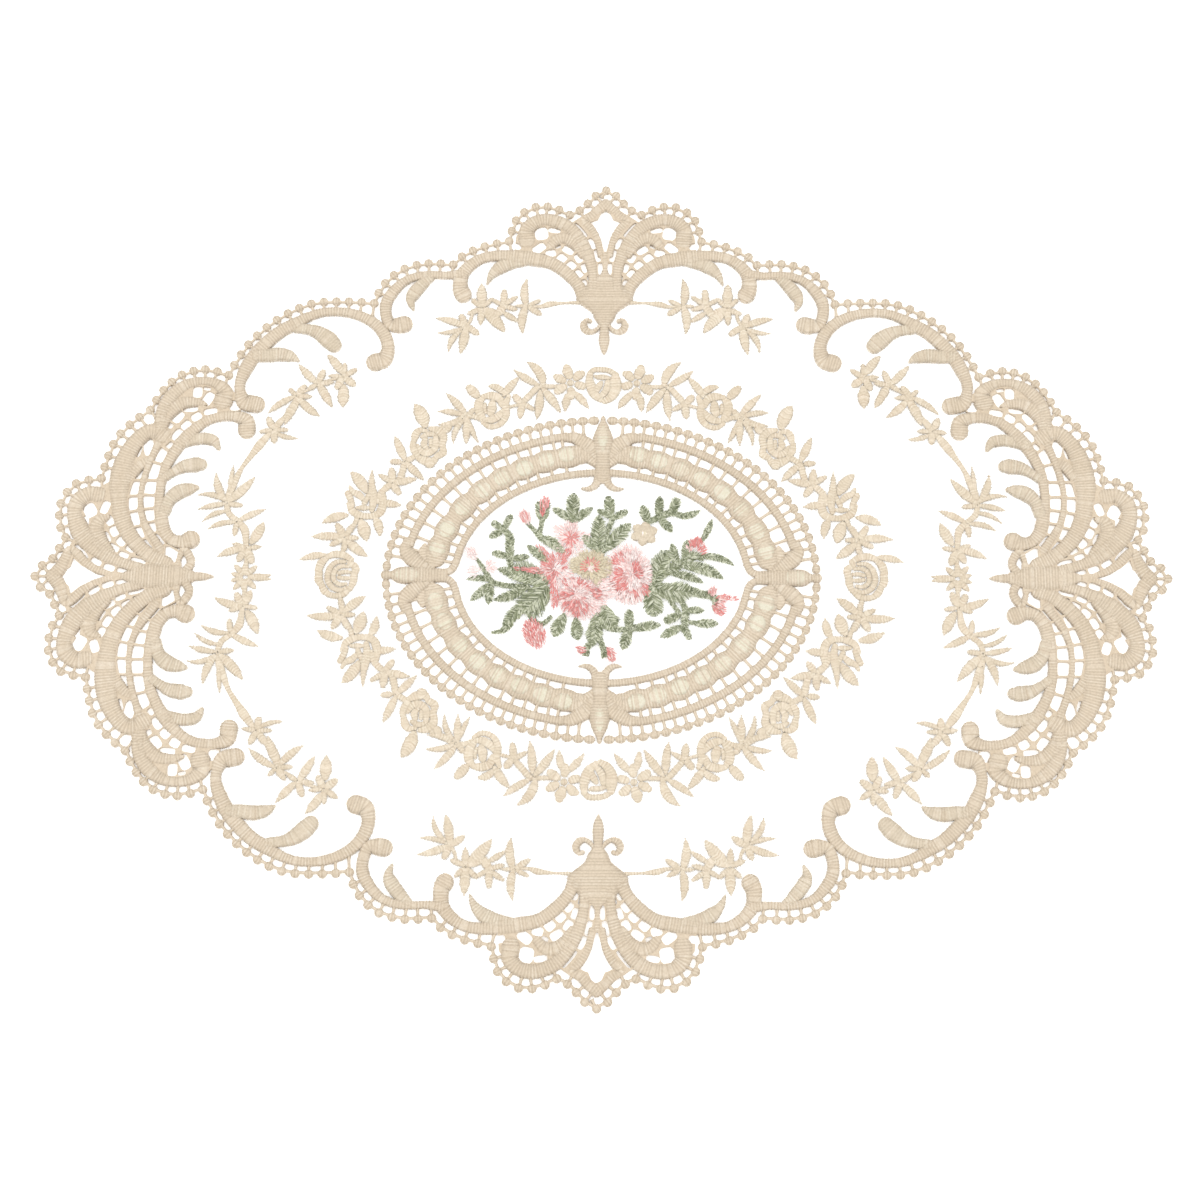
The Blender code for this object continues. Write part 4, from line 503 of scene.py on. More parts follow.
# the flowers: the middle that their stitches point at, then their petals in the order of working
FLOWERS = [
    # coral flower at the back left
    flower(
        -46, 8, (-52, 5, 27, 16, 105, "rose_mid"), (-59, 27, 17, 6, 138, "rose_deep"),
        (-53, 10, 20, 13, 110, "rose_deep"), (-45, 19, 22, 13, 25, "rose_deep"),
        (-35, 24, 14, 8, 55, "rose_deep"), (-37.5, 12, 14, 7, 80, "rose_deep"),
        (-55, 3, 16, 11, 95, "rose_mid"), (-49, -4, 14, 9, 120, "rose_deep"),
        (-46.5, -18, 30, 9, 93, "rose_deep"), (-36, 3, 16, 10, 0, "rose_pale"),
        (-43.5, -5, 14, 8, 80, "rose_pale"), (-44, 4, 6, 5, 0, "rose_deep"),
        (-43.5, 9.5, 9.5, 9, 0, "rose_faint")
    ),
    # pale star
    flower(
        -31.2, 40.5, (-31, 49, 21, 15, 95, "rose_pale"), (-22, 41, 21, 15, 5, "rose_pale"),
        (-25.5, 31, 19, 14, 120, "rose_pale"), (-39.5, 34, 20, 14, 45, "rose_pale"),
        (-40.5, 46.5, 20, 14, 140, "rose_pale"), (-31, 40, 16, 15, 0, "rose_mid")
    ),
    # tan flower in the middle
    flower(
        -10.7, 10, (-24, 12, 17, 17, 0, "flower_tan"), (-18, 19, 19, 15, 50, "flower_tan"),
        (-5, 20, 18, 15, 110, "flower_tan"), (3, 11, 15, 22, 0, "flower_tan"),
        (-3, 0, 17, 15, 120, "flower_tan"), (-12, 7, 24, 18, 0, "flower_tan"),
        (-2, -5, 9, 9, 0, "flower_tan"), (-11, 12, 17, 13, 0, "coral_on_tan"),
        (-10.5, 9, 7, 7, 0, "rose_faint")
    ),
    # the left rose
    flower(
        -25, -18, (-19, -21, 50, 45, -10, "rose_pale"), (-24, -20, 34, 30, 0, "rose_pale"),
        (-37, -5, 10, 6, -50, "rose_deep"), (-28, -3, 8, 4, -20, "rose_mid"),
        (-21.5, -5, 10, 6, -60, "rose_deep"), (-14, -9.5, 8, 4, -40, "rose_deep"),
        (-9, -13.5, 7, 3.5, -60, "rose_deep"), (-29, -12, 12, 5, 0, "rose_mid"),
        (-35, -19, 14, 8, 20, "rose_deep"), (-33.5, -30, 12, 9, 0, "rose_deep"),
        (-25, -31, 20, 11, 105, "rose_deep"), (-29.5, -22, 12, 4, 0, "rose_pale"),
        (-17, -24, 13, 5, 110, "rose_mid"), (-14.5, -33, 12, 4.5, 72, "rose_deep"),
        (-3.5, -17.5, 14, 9, 118, "rose_deep"), (-12, -21, 12, 5, 80, "rose_faint"),
        (-22, -14, 14, 5, -10, "rose_faint"), (2, -9, 14, 10, 120, "rose_pale"),
        (7, -13, 20, 12, 118, "rose_pale")
    ),
    # the right rose
    flower(
        31, 2, (27, 3, 62, 46, 97, "rose_pale"), (26, 2, 40, 28, 97, "rose_pale"),
        (17, 19, 16, 11, 40, "rose_deep"), (17.5, 4.5, 10, 9, 60, "rose_deep"),
        (18, -8, 18, 15, -45, "rose_deep"), (26, -14, 18, 10, -30, "rose_deep"),
        (33, -18, 9, 7, 30, "rose_deep"), (44, -13, 14, 7, 100, "rose_deep"),
        (24, 0, 14, 5, 60, "rose_mid"), (33, -8, 18, 8, 30, "rose_faint"), (27, 9, 18, 5, 88, "rose_pale"),
        (46, 4, 24, 7, 95, "rose_faint"), (36, 7, 19, 9, 112, "rose_deep"),
        (30, 22, 18, 8, 10, "rose_faint"), (22, -21, 30, 11, -18, "rose_pale")
    ),
    # the coral streak over the leaves, then buds with their stitches running from base to tip
    flower(
        -40, 3, (-74, 7, 10, 5.5, -8, "rose_deep"), (-82, 8, 12, 4, -8, "rose_deep"),
        (-66, 6, 16, 7, -8, "rose_deep")
    ),
    flower(-52, -95, (-65.7, -58.6, 31, 22, 113, "coral_and_pale")),
    flower(-72, 48, (-77.5, 62.9, 16, 11, 115, "rose_mid")),
    flower(-58, 50, (-58, 77, 13, 10, 80, "coral_and_pale"), (-59.5, 69, 12, 5.5, 85, "rose_deep")),
    flower(3, -70, (10.5, -80, 16, 9.5, 105, "coral_and_pale")),
    flower(-5, -76, (-19, -75.3, 10, 8, 170, "coral_and_pale")),
    flower(
        90, 20, (93.5, 36.4, 14, 9, 20, "rose_deep"), (100.5, 30, 13, 9, 105, "rose_deep"),
        (88, 30, 7, 6, 0, "rose_mid")
    ),
    flower(
        106, -28, (111.3, -14.5, 10, 9, 60, "rose_mid"), (117.5, -33, 14, 13, 100, "rose_deep"),
        (126, -21.5, 22, 6, -8, "rose_deep"), (120, -26, 14, 7, 70, "rose_mid")
    ),
    # faint petals at the left edge
    flower(
        -116, 8, (-130, 24, 15, 11, 115, "rose_faint"), (-128, 5, 14, 12, 80, "rose_faint"),
        (-110.6, 10.5, 14, 10, 105, "rose_pale")
    ),
]
LARGE_FLOWERS = 5           # the first of them; the others are buds and single petals
STAR_RAYS = [
    (-41.5, 37), (-33.8, 48.5), (-21, 42), (-29.5, 30), (-39.5, 45), (-25.5, 47), (-25, 33.5), (-36, 32),
]
STAR_RAY_WIDTH = 1.2
TAN_RAYS = 15               # deep rays in the tan flower, in the back three quarters
TAN_FIRST, TAN_SPAN = -35, 250      # degrees from the X axis
TAN_RAY_WIDTH = 1.3
SMALL_TAN = (42.6, 45.6)
SMALL_TAN_PETALS = 6

# ---------------- lines and outlines
FLIPS = [(False, False), (True, False), (False, True), (True, True)]
SIDES = FLIPS[:2]
ENDS = FLIPS[::2]


def beyond(end, before):
    """The point that carries a line straight on past its end."""
    return [2 * a - b for a, b in zip(end, before)]


def smooth(points, steps):
    """A smooth line through the points; each point carries a width."""
    ends = [beyond(points[0], points[1]), *points, beyond(points[-1], points[-2])]
    line = []
    for four in zip(ends, ends[1:], ends[2:], ends[3:]):
        for step in range(steps):
            t = step / steps
            line.append(tuple(
                b + 0.5 * t * (c - a + t * (2 * a - 5 * b + 4 * c - d + t * (3 * (b - c) + d - a)))
                for a, b, c, d in zip(*four)))
    line.append(tuple(points[-1]))
    return line


def heading(start, end):
    """The direction from start to end, as a unit vector."""
    run, rise = end[0] - start[0], end[1] - start[1]
    length = math.hypot(run, rise) or 1.0
    return run / length, rise / length


def headings(line):
    """The direction of the line at each of its points."""
    last = len(line) - 1
    return [heading(line[max(i - 1, 0)], line[min(i + 1, last)]) for i in range(last + 1)]


def outline_of(line):
    """The outline of a line whose points carry a width."""
    turns = headings(line)
    left = [(x - v * w / 2, y + u * w / 2) for (x, y, w), (u, v) in zip(line, turns)]
    right = [(x + v * w / 2, y - u * w / 2) for (x, y, w), (u, v) in zip(line, turns)]
    return left + right[::-1]


def even(line, pitch):
    """The line's points at even steps along it."""
    reached = [0.0]
    for start, end in zip(line, line[1:]):
        reached.append(reached[-1] + math.dist(start[:2], end[:2]))
    count = max(2, round(reached[-1] / pitch / 2) * 2)
    stops, i = [], 0
    for k in range(count + 1):
        goal = reached[-1] * k / count
        while i < len(line) - 2 and reached[i + 1] < goal:
            i += 1
        share = (goal - reached[i]) / ((reached[i + 1] - reached[i]) or 1.0)
        stops.append(tuple(a + (b - a) * share for a, b in zip(line[i], line[i + 1])))
    return stops


def cap(tip, before):
    """The points that carry a band on past its tip to a half-round end."""
    u, v = heading(before, tip)
    reach = tip[2] / 2
    return [(tip[0] + u * reach * s, tip[1] + v * reach * s, tip[2] * math.sqrt(1 - s * s))
            for s in (0.3, 0.55, 0.75, 0.9, 0.98)]


def rounded(line):
    """The line with half-round ends."""
    return cap(line[0], line[1])[::-1] + line + cap(line[-1], line[-2])


def band(stations):
    return rounded(smooth(stations, 6))


def leaf(row, steps=14):
    """The middle line of a leaf, widest before its middle; short leaves are blunt petals."""
    run, rise = row.tip_x - row.x, row.tip_y - row.y
    length = math.hypot(run, rise)
    taper = 0.5 if length < BLUNT_LENGTH else 0.75
    line = []
    for i in range(steps + 1):
        t = i / steps
        sag = 4 * row.bend * t * (1 - t)
        swell = math.sin(math.pi * min(t, 0.999) ** 0.8) ** taper
        width = row.width * max(swell, LEAF_BASE * (1 - t), LEAF_TIP)
        line.append((row.x + run * t - rise / length * sag, row.y + rise * t + run / length * sag, width))
    return line


def oval(x, y, length, width, turn):
    """The middle line of an oval worked in satin stitch across its length."""
    u, v = math.cos(math.radians(turn)), math.sin(math.radians(turn))
    half = (0.2, 0.4, 0.6, 0.78, 0.9, 0.97, 0.995)
    return [(x + u * s * length / 2, y + v * s * length / 2, width * math.sqrt(1 - s * s))
            for s in (*[-s for s in half[::-1]], 0, *half)]


def mirror_line(line, flip_x, flip_y):
    return [(-p[0] if flip_x else p[0], -p[1] if flip_y else p[1], *p[2:]) for p in line]


def copies(line):
    """The mirrorings of a line: four, or two where it lies along an axis."""
    if all(point[0] == 0 for point in line):
        return ENDS
    return SIDES if all(point[1] == 0 for point in line) else FLIPS


def moved(line, x, y):
    return [(px + x, py + y, width) for px, py, width in line]


def between(start, end, share):
    return start[0] + (end[0] - start[0]) * share, start[1] + (end[1] - start[1]) * share


def inwards(x, y, out, distance):
    """The point this far inwards of a point with this outward direction."""
    return x - out[0] * distance, y - out[1] * distance


def ring_point(ring, degrees, outward=0.0):
    """A point on an oval; the angle is counted from the back, Y, towards the side, X."""
    angle = math.radians(degrees)
    return (ring.reach_x + outward) * math.sin(angle), (ring.reach_y + outward) * math.cos(angle)


def ring_line(ring, first, last, steps):
    return [(*ring_point(ring, first + (last - first) * k / steps), ring.width) for k in range(steps + 1)]


# ---------------- pieces in the making
def in_metres(x, y):
    return (x + LEAN_X_PER_Y * y) * SQUARE, (y + LEAN_Y_PER_X * x) * SQUARE


class Work:
    """A mesh in the making: points, faces, each face's thread and each point's place in the weave."""

    def __init__(self, name, rise=0.0, lean=0.0, squeeze=1.0):
        self.name, self.points, self.faces, self.threads, self.weave = name, [], [], [], []
        self.rise, self.lean, self.squeeze = rise, lean, squeeze

    def point(self, x, y, z, along=0.0, across=0.0):
        self.points.append((*in_metres(x, y * self.squeeze + self.rise + self.lean * x), z))
        self.weave.append((along * 0.1, across * 0.1))
        return len(self.points) - 1

    def face(self, corners, name):
        self.faces.append(corners)
        self.threads.append(name)

    def finish(self, shade_smooth=True):
        mesh = bpy.data.meshes.new(self.name)
        mesh.from_pydata(self.points, [], self.faces)
        names = sorted(set(self.threads))
        for name in names:
            mesh.materials.append(bpy.data.materials[name])
        slots = {name: i for i, name in enumerate(names)}
        mesh.polygons.foreach_set("material_index", [slots[name] for name in self.threads])
        mesh.polygons.foreach_set("use_smooth", [shade_smooth] * len(self.faces))
        weave = mesh.uv_layers.new(name="weave")
        flat = [value for face in self.faces for corner in face for value in self.weave[corner]]
        weave.data.foreach_set("uv", flat)
        mesh.update()
        piece = bpy.data.objects.new(self.name, mesh)
        bpy.context.scene.collection.objects.link(piece)
        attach(piece, "root")
        return piece


# ---------------- stitches
# the section of a stitch across its band: how far out and how high, as shares
ONE_ROW = [(-1.0, 0.0), (-0.95, 0.88), (-0.55, 0.98), (0.0, 1.0), (0.55, 0.98), (0.95, 0.88), (1.0, 0.0)]
NARROW = [(-1.0, 0.0), (-0.9, 0.9), (0.0, 1.0), (0.9, 0.9), (1.0, 0.0)]
TWO_ROWS = [(-1.0, 0.0), (-0.95, 0.92), (-0.5, 1.0), (0.0, 0.93), (0.5, 1.0), (0.95, 0.92), (1.0, 0.0)]

# a look is the threads that it is worked in, each with its share
# in these three looks the lighter copies of the beige and cream threads are painted highlight, on stitches
# picked at random
BEIGE = [("beige_thread", 5), ("beige_light", 2)]
CREAM = [("cream_thread", 4), ("cream_light", 1.6), ("beige_light", 1)]
PEARL = [("pearl_thread", 3), ("cream_light", 2), ("cream_thread", 1)]
GREEN = [("green_mid", 4), ("green_light", 3.4), ("green_dark", 2.2)]
SMALL_TAN_LOOK = [("cream_thread", 3), ("cream_shade", 1)]
SMALL_TAN_EYE = [("rose_faint", 1), ("tan_light", 1)]
SHADES = {
    "rose_deep": [("rose_mid", 2), ("rose_deep", 6), ("rose_pale", 0.6)],
    "rose_mid": [("rose_pale", 4), ("rose_mid", 4), ("rose_deep", 1.6), ("rose_faint", 1)],
    "rose_pale": [("rose_pale", 5), ("rose_faint", 5), ("rose_mid", 0.8)],
    "rose_faint": [("rose_faint", 6), ("rose_pale", 1)],
    "coral_and_pale": [("rose_mid", 2), ("rose_deep", 4), ("rose_faint", 2)],
    "flower_tan": [("tan_light", 3), ("flower_tan", 2)],
    "coral_on_tan": [("tan_light", 3), ("flower_tan", 3), ("rose_mid", 2), ("rose_deep", 1)],
}
PAINTED_RIB_SHADE = {"beige_thread": "beige_shade", "beige_light": "beige_shade", "cream_thread": "cream_shade",
            "cream_light": "cream_thread"}      # painted shade: the darker copy of each thread, on every second stitch, for the shade between the satin ribs
SHADED_SHARE = 0.9          # of these stitches take the painted shade
LEAST_HALF = 0.12           # half width of a satin stitch at the tip of a band
BAR_FLARE = 0.8             # how much wider a bar is at its ends, as a share of its width
BLUNT_LENGTH = 20           # leaves shorter than this are blunt
LEAF_BASE, LEAF_TIP = 0.3, 0.06     # least width of a leaf at its base and its tip, as shares
UNDER_PETAL = 0.86          # size of the thin layer under a petal's loose stitches, as a share
UNDER_LEAF = 0.8            # and of the layer under a bouquet leaf's
PETAL_STITCHES = 0.42       # loose stitches in a square of a petal
STROKE_REACH = (1.4, 3.2)   # half length of a petal's loose stitches, at least and at most
LEAF_ROWS = ((-0.05, 0.62), (0.42, 1.0))    # where its stitches start and end, as shares of half its width
LEAST_STROKE = 0.6
PETAL_THREAD = 0.75         # width of their thread
LEAF_THREAD = 0.75
LEAF_PITCH = 0.95           # between the rows of slanting stitches in a bouquet leaf
LEAF_SLANT = 0.75

chance = random.Random(5)


def pick(look):
    names, weights = zip(*look)
    return chance.choices(names, weights)[0]


def satin(work, line, look, bottom, top, shape=None, lean=0.0, stitch=STITCH, fray=FRAY):
    """Satin stitch across a line: each stitch is a ridge, with a groove before the next."""
    stops = even(line, stitch / 2)
    if shape is None:
        widest = max(stop[2] for stop in stops)
        shape = NARROW if widest < 7 else ONE_ROW if widest < 12 else TWO_ROWS
    loops = []
    for k, ((x, y, width), (u, v)) in enumerate(zip(stops, headings(stops))):
        ridge = k % 2 == 0
        half = max(width / 2 + (fray * chance.uniform(0.0, 1.6) if ridge else -fray), LEAST_HALF)
        fullness = min(1.0, 0.84 + width / 50)      # narrow bands stand a little lower
        swell = (1.0 if ridge else GROOVE) * fullness * chance.uniform(0.97, 1.0)
        loop = []
        for across, rise in shape:
            side = across * half
            slide = lean * abs(side)
            loop.append(work.point(x + u * slide - v * side, y + v * slide + u * side,
                                   bottom + (top - bottom) * rise * swell, k * stitch / 2, side))
        loops.append(loop)
    # each stitch takes a thread of its look at random, the lighter copies among them painted highlight
    name = pick(look)
    for k, (near, far) in enumerate(zip(loops, loops[1:])):
        if k % 2 == 1:
            name = pick(look)
        # painted shade: most of every second stitch takes the darker copy of its thread, for the shade
        # between the ribs
        if k % 4 == 1 and chance.random() < SHADED_SHARE:
            name = PAINTED_RIB_SHADE.get(name, name)
        for a in range(len(near)):
            b = (a + 1) % len(near)
            work.face((near[a], near[b], far[b], far[a]), name)
    work.face(loops[0][::-1], name)
    work.face(loops[-1], name)


def stitched(work, line, look, bottom, top, flips=None, **extra):
    """Satin stitch along a line and its mirrorings."""
    for flip in flips or copies(line):
        satin(work, mirror_line(line, *flip), look, bottom, top, **extra)


def bead(work, x, y, across, look=BEIGE, bottom=LACE_BOTTOM, top=BEAD_TOP, turn=0.0, length=None,
         stitch=BEAD_STITCH):
    """A small bead worked in satin stitch, round unless it has a length."""
    line = oval(x, y, length or across, across, turn)
    satin(work, line, look, bottom, top, NARROW, stitch=stitch, fray=BEAD_FRAY)


def thread_ring(work, x, y, way, half, low, high, weave):
    """Four points round a thread; weave turns how far each is to the side into its place in the weave."""
    middle = (low + high) / 2
    return [work.point(x - way[1] * side, y + way[0] * side, z, *weave(side))
            for side, z in ((half, middle), (0.0, high), (-half, middle), (0.0, low))]


def stroke(work, start, end, width, name, low, high):
    """One loose stitch: a thread that dives into the cloth at both ends."""
    length = math.dist(start, end)
    rings = [thread_ring(work, *between(start, end, t), heading(start, end), width / 2, low, high,
                         lambda side: (side, t * length)) for t in (0.22, 0.78)]
    dip = low + (high - low) * 0.3
    tips = [work.point(*start, dip), work.point(*end, dip, 0.0, length)]
    for a in range(4):
        b = (a + 1) % 4
        work.face((rings[0][a], rings[0][b], tips[0]), name)
        work.face((rings[0][b], rings[0][a], rings[1][a], rings[1][b]), name)
        work.face((rings[1][b], rings[1][a], tips[1]), name)


def bar(work, start, end, width, bow=0.0, steps=4):
    """A thin beige thread bar between two points, thicker at its ends."""
    length = math.dist(start, end)
    u, v = heading(start, end)
    loops = []
    for k in range(steps + 1):
        t = k / steps
        side = bow * math.sin(math.pi * t)
        half = width / 2 * (1.0 + BAR_FLARE * abs(2 * t - 1) ** 3)
        x, y = between(start, end, t)
        loops.append(thread_ring(work, x - v * side, y + u * side, (u, v), half, GROUND_BOTTOM, GROUND_TOP,
                                 lambda side: (t * length, side)))
    for near, far in zip(loops, loops[1:]):
        for a in range(4):
            b = (a + 1) % 4
            work.face((near[a], far[a], far[b], near[b]), "beige_thread")
    work.face(loops[0], "beige_thread")
    work.face(loops[-1][::-1], "beige_thread")


def embroider(work, petals, middle, level):
    """Petals of short loose stitches that point at the middle of their flower, over thin satin."""
    for number, petal in enumerate(petals):
        look = SHADES[petal.shade]
        if number == 0 or petal.shade == "flower_tan":
            under = oval(petal.x, petal.y, petal.length * UNDER_PETAL, petal.width * UNDER_PETAL, petal.turn)
            satin(work, under, look[:1], MOTIF_BOTTOM, level - UNDER_DEPTH, ONE_ROW, stitch=UNDER_STITCH)
        u, v = math.cos(math.radians(petal.turn)), math.sin(math.radians(petal.turn))
        for _ in range(round(petal.length * petal.width * PETAL_STITCHES)):
            share, angle = math.sqrt(chance.random()), chance.uniform(0, 2 * math.pi)
            along = petal.length / 2 * share * math.cos(angle)
            across = petal.width / 2 * share * math.sin(angle)
            x, y = petal.x + along * u - across * v, petal.y + along * v + across * u
            aim = math.atan2(y - middle[1], x - middle[0]) + chance.uniform(-0.2, 0.2)
            reach = min(chance.uniform(*STROKE_REACH), petal.width / 2.2)
            run, rise = math.cos(aim) * reach, math.sin(aim) * reach
            high = level + PETAL_STEP * number - chance.uniform(0.0, 0.00012)
            stroke(work, (x - run, y - rise), (x + run, y + rise), PETAL_THREAD, pick(look),
                   high - PETAL_THICK, high)


def herringbone(work, line, look, bottom, top):
    """A leaf: two rows of slanting stitches on each side of its midrib, over a thin layer of thread."""
    under = [(x, y, width * UNDER_LEAF) for x, y, width in line]
    satin(work, under, look[:1], bottom, bottom + (top - bottom) * 0.7, stitch=UNDER_STITCH)
    stops = even(line, LEAF_PITCH)
    for (x, y, width), (u, v) in zip(stops, headings(stops)):
        for side in (-1, 1):
            for shares in LEAF_ROWS:
                near, far = [width / 2 * (share + chance.uniform(-0.16, 0.18)) for share in shares]
                if far < LEAST_STROKE:
                    continue
                high = top - chance.uniform(0.0, 0.0002)
                ends = [(x + u * LEAF_SLANT * out - v * side * out,
                         y + v * LEAF_SLANT * out + u * side * out) for out in (near, far)]
                stroke(work, *ends, LEAF_THREAD, pick(look), high - LEAF_THICK, high)


# ---------------- worked grounds
Patch = namedtuple("Patch", "outline low_x low_y high_x high_y")


def patch(outline):
    return Patch(outline, min(p[0] for p in outline), min(p[1] for p in outline),
                 max(p[0] for p in outline), max(p[1] for p in outline))


def inside(area, x, y):
    if not (area.low_x <= x <= area.high_x and area.low_y <= y <= area.high_y):
        return False
    odd = False
    x0, y0 = area.outline[-1][:2]
    for corner in area.outline:
        x1, y1 = corner[:2]
        if (y0 > y) != (y1 > y) and x < x0 + (x1 - x0) * (y - y0) / (y1 - y0):
            odd = not odd
        x0, y0 = x1, y1
    return odd


def opening(row, points=16, square=4.5):
    """The outline of an opening, a box with rounded corners."""
    u, v = math.cos(math.radians(row.turn)), math.sin(math.radians(row.turn))
    outline = []
    for k in range(points):
        angle = 2 * math.pi * (k + 0.5) / points
        c, s = math.cos(angle), math.sin(angle)
        reach = (abs(c) ** square + abs(s) ** square) ** (-1 / square)
        a, b = (row.length + OPEN) / 2 * reach * c, (row.width + OPEN) / 2 * reach * s
        outline.append((row.x + a * u - b * v, row.y + a * v + b * u))
    return outline


def soften(corners, share):
    """The outline with each corner cut off."""
    cut = []
    for before, here, after in zip(corners[-1:] + corners[:-1], corners, corners[1:] + corners[:1]):
        cut += [between(here, before, share), between(here, after, share)]
    return cut


def ladder_cells(rungs):
    """The openings between the rungs of a ladder."""
    cells = []
    for (a, b), (c, d) in zip(rungs, rungs[1:]):
        near, far = RUNG_HALF / math.dist(a, c), RUNG_HALF / math.dist(b, d)
        corners = [between(a, c, near), between(b, d, far), between(d, b, far), between(c, a, near)]
        cells.append(soften(corners, CELL_SOFT))
    return cells


def filled(outlines, cuts, pitch=0):
    """Points and triangles over the outlines, with the cuts left open; a pitch adds a grid of points."""
    points, edges = [], []
    for outline in outlines + cuts:
        first = len(points)
        points += [Vector(point[:2]) for point in outline]
        edges += [(first + i, first + (i + 1) % len(outline)) for i in range(len(outline))]
    areas, gaps = [patch(outline) for outline in outlines], [patch(outline) for outline in cuts]

    def covered(x, y):
        return any(inside(area, x, y) for area in areas) and not any(inside(gap, x, y) for gap in gaps)

    if pitch:
        points += [Vector((i * pitch, j * pitch)) for i in range(-GRID_X, GRID_X + 1)
                   for j in range(-GRID_Y, GRID_Y + 1) if covered(i * pitch, j * pitch)]
    spots, _, triangles, _, _, _ = delaunay_2d_cdt(points, edges, [], 0, 0.02)
    return spots, [corners for corners in triangles
                   if covered(sum(spots[i].x for i in corners) / 3, sum(spots[i].y for i in corners) / 3)]


def ground(work, outlines, cuts):
    """Worked ground: a flat plate over the outlines, with the cuts left open."""
    spots, triangles = filled(outlines, cuts)
    upper, lower, edges = {}, {}, {}
    for corners in triangles:
        for a, b in zip(corners, corners[1:] + corners[:1]):
            edges[a, b] = True
        for i in corners:
            if i not in upper:
                x, y = spots[i]
                upper[i] = work.point(x, y, GROUND_TOP, x, y)
                lower[i] = work.point(x, y, GROUND_BOTTOM, x, y)
        # painted shade: the flat plate takes the darker copy of the beige thread, for the shade of the
        # worked web that a flat plate lacks
        work.face([upper[i] for i in corners], "beige_shade")
        work.face([lower[i] for i in reversed(corners)], "beige_shade")
    for a, b in edges:
        if (b, a) not in edges:
            work.face((upper[b], upper[a], lower[a], lower[b]), "beige_shade")


def sheet(work, outlines, cuts):
    """A single layer of net that ripples very slightly."""
    spots, triangles = filled(outlines, cuts, NET_GRID)
    made = {}
    for corners in triangles:
        for i in corners:
            if i not in made:
                x, y = spots[i]
                ripple = NET_RIPPLE * math.sin(x / RIPPLE_X) * math.cos(y / RIPPLE_Y)
                made[i] = work.point(x, y, NET_LEVEL + ripple, x, y)
        work.face([made[i] for i in corners], "sheer_net")


# ---------------- materials
LIGHT_GAIN = 1.32           # how much brighter than its own colour a lit thread comes out

# colours of a thread's darker and lighter streaks as the photograph shows them under its bright light;
# the palest pinks go a little past 255, as LIGHT_GAIN brings them back under full white
Thread = namedtuple("Thread", "name dark light roughness", defaults=[0.5])
THREADS = table(Thread, [
    ("beige_thread", (226, 208, 182), (244, 228, 205)),
    # a lighter copy of the beige thread, for painted highlight on random stitches
    ("beige_light", (231, 214, 189), (248, 234, 213), 0.42),
    # a darker copy of the beige thread: painted shade on every second stitch and on the flat worked ground
    ("beige_shade", (211, 192, 165), (230, 212, 187)),
    ("cream_thread", (222, 205, 178), (240, 225, 202), 0.46),
    # a darker copy of the cream thread: painted shade on every second stitch; the small tan flower also
    # takes it as a deeper cream
    ("cream_shade", (212, 195, 168), (230, 215, 191), 0.46),
    # a lighter copy of the cream thread, for painted highlight on random stitches and on the pearls
    ("cream_light", (230, 214, 188), (247, 235, 214), 0.4),
    ("pearl_thread", (232, 223, 194), (248, 242, 222), 0.36),
    ("green_mid", (160, 167, 130), (192, 197, 162)),
    ("green_dark", (98, 107, 70), (142, 150, 110)),
    ("green_light", (218, 222, 190), (252, 253, 232), 0.45),
    ("rose_deep", (241, 130, 126), (254, 170, 163), 0.45),
    ("rose_mid", (254, 178, 172), (255, 208, 202), 0.45),
    ("rose_pale", (266, 222, 216), (280, 250, 245), 0.42),
    ("rose_faint", (272, 244, 239), (282, 272, 268), 0.42),
    ("flower_tan", (226, 207, 170), (243, 227, 195), 0.45),
    ("tan_light", (238, 222, 189), (252, 241, 214), 0.45),
])


def srgb(values):
    """A colour as the photograph shows it, turned into the shader's linear values under this light."""
    return (*[((v / 255 + 0.055) / 1.055) ** 2.4 / LIGHT_GAIN for v in values], 1.0)


def preset(node, **values):
    """The node with these values on its inputs."""
    for name, value in values.items():
        node.inputs[name.replace("_", " ")].default_value = value
    return node


def material_nodes(name, **values):
    """A new material's node tree and its shader, with these values on the shader."""
    material = bpy.data.materials.new(name)
    material.use_nodes = True
    tree = material.node_tree
    return tree, preset(tree.nodes["Principled BSDF"], **values)


def new_node(tree, kind, **values):
    return preset(tree.nodes.new("ShaderNode" + kind), **values)


def connect(tree, rows):
    for start, output, end, socket in rows:
        tree.links.new(start.outputs[output], end.inputs[socket])


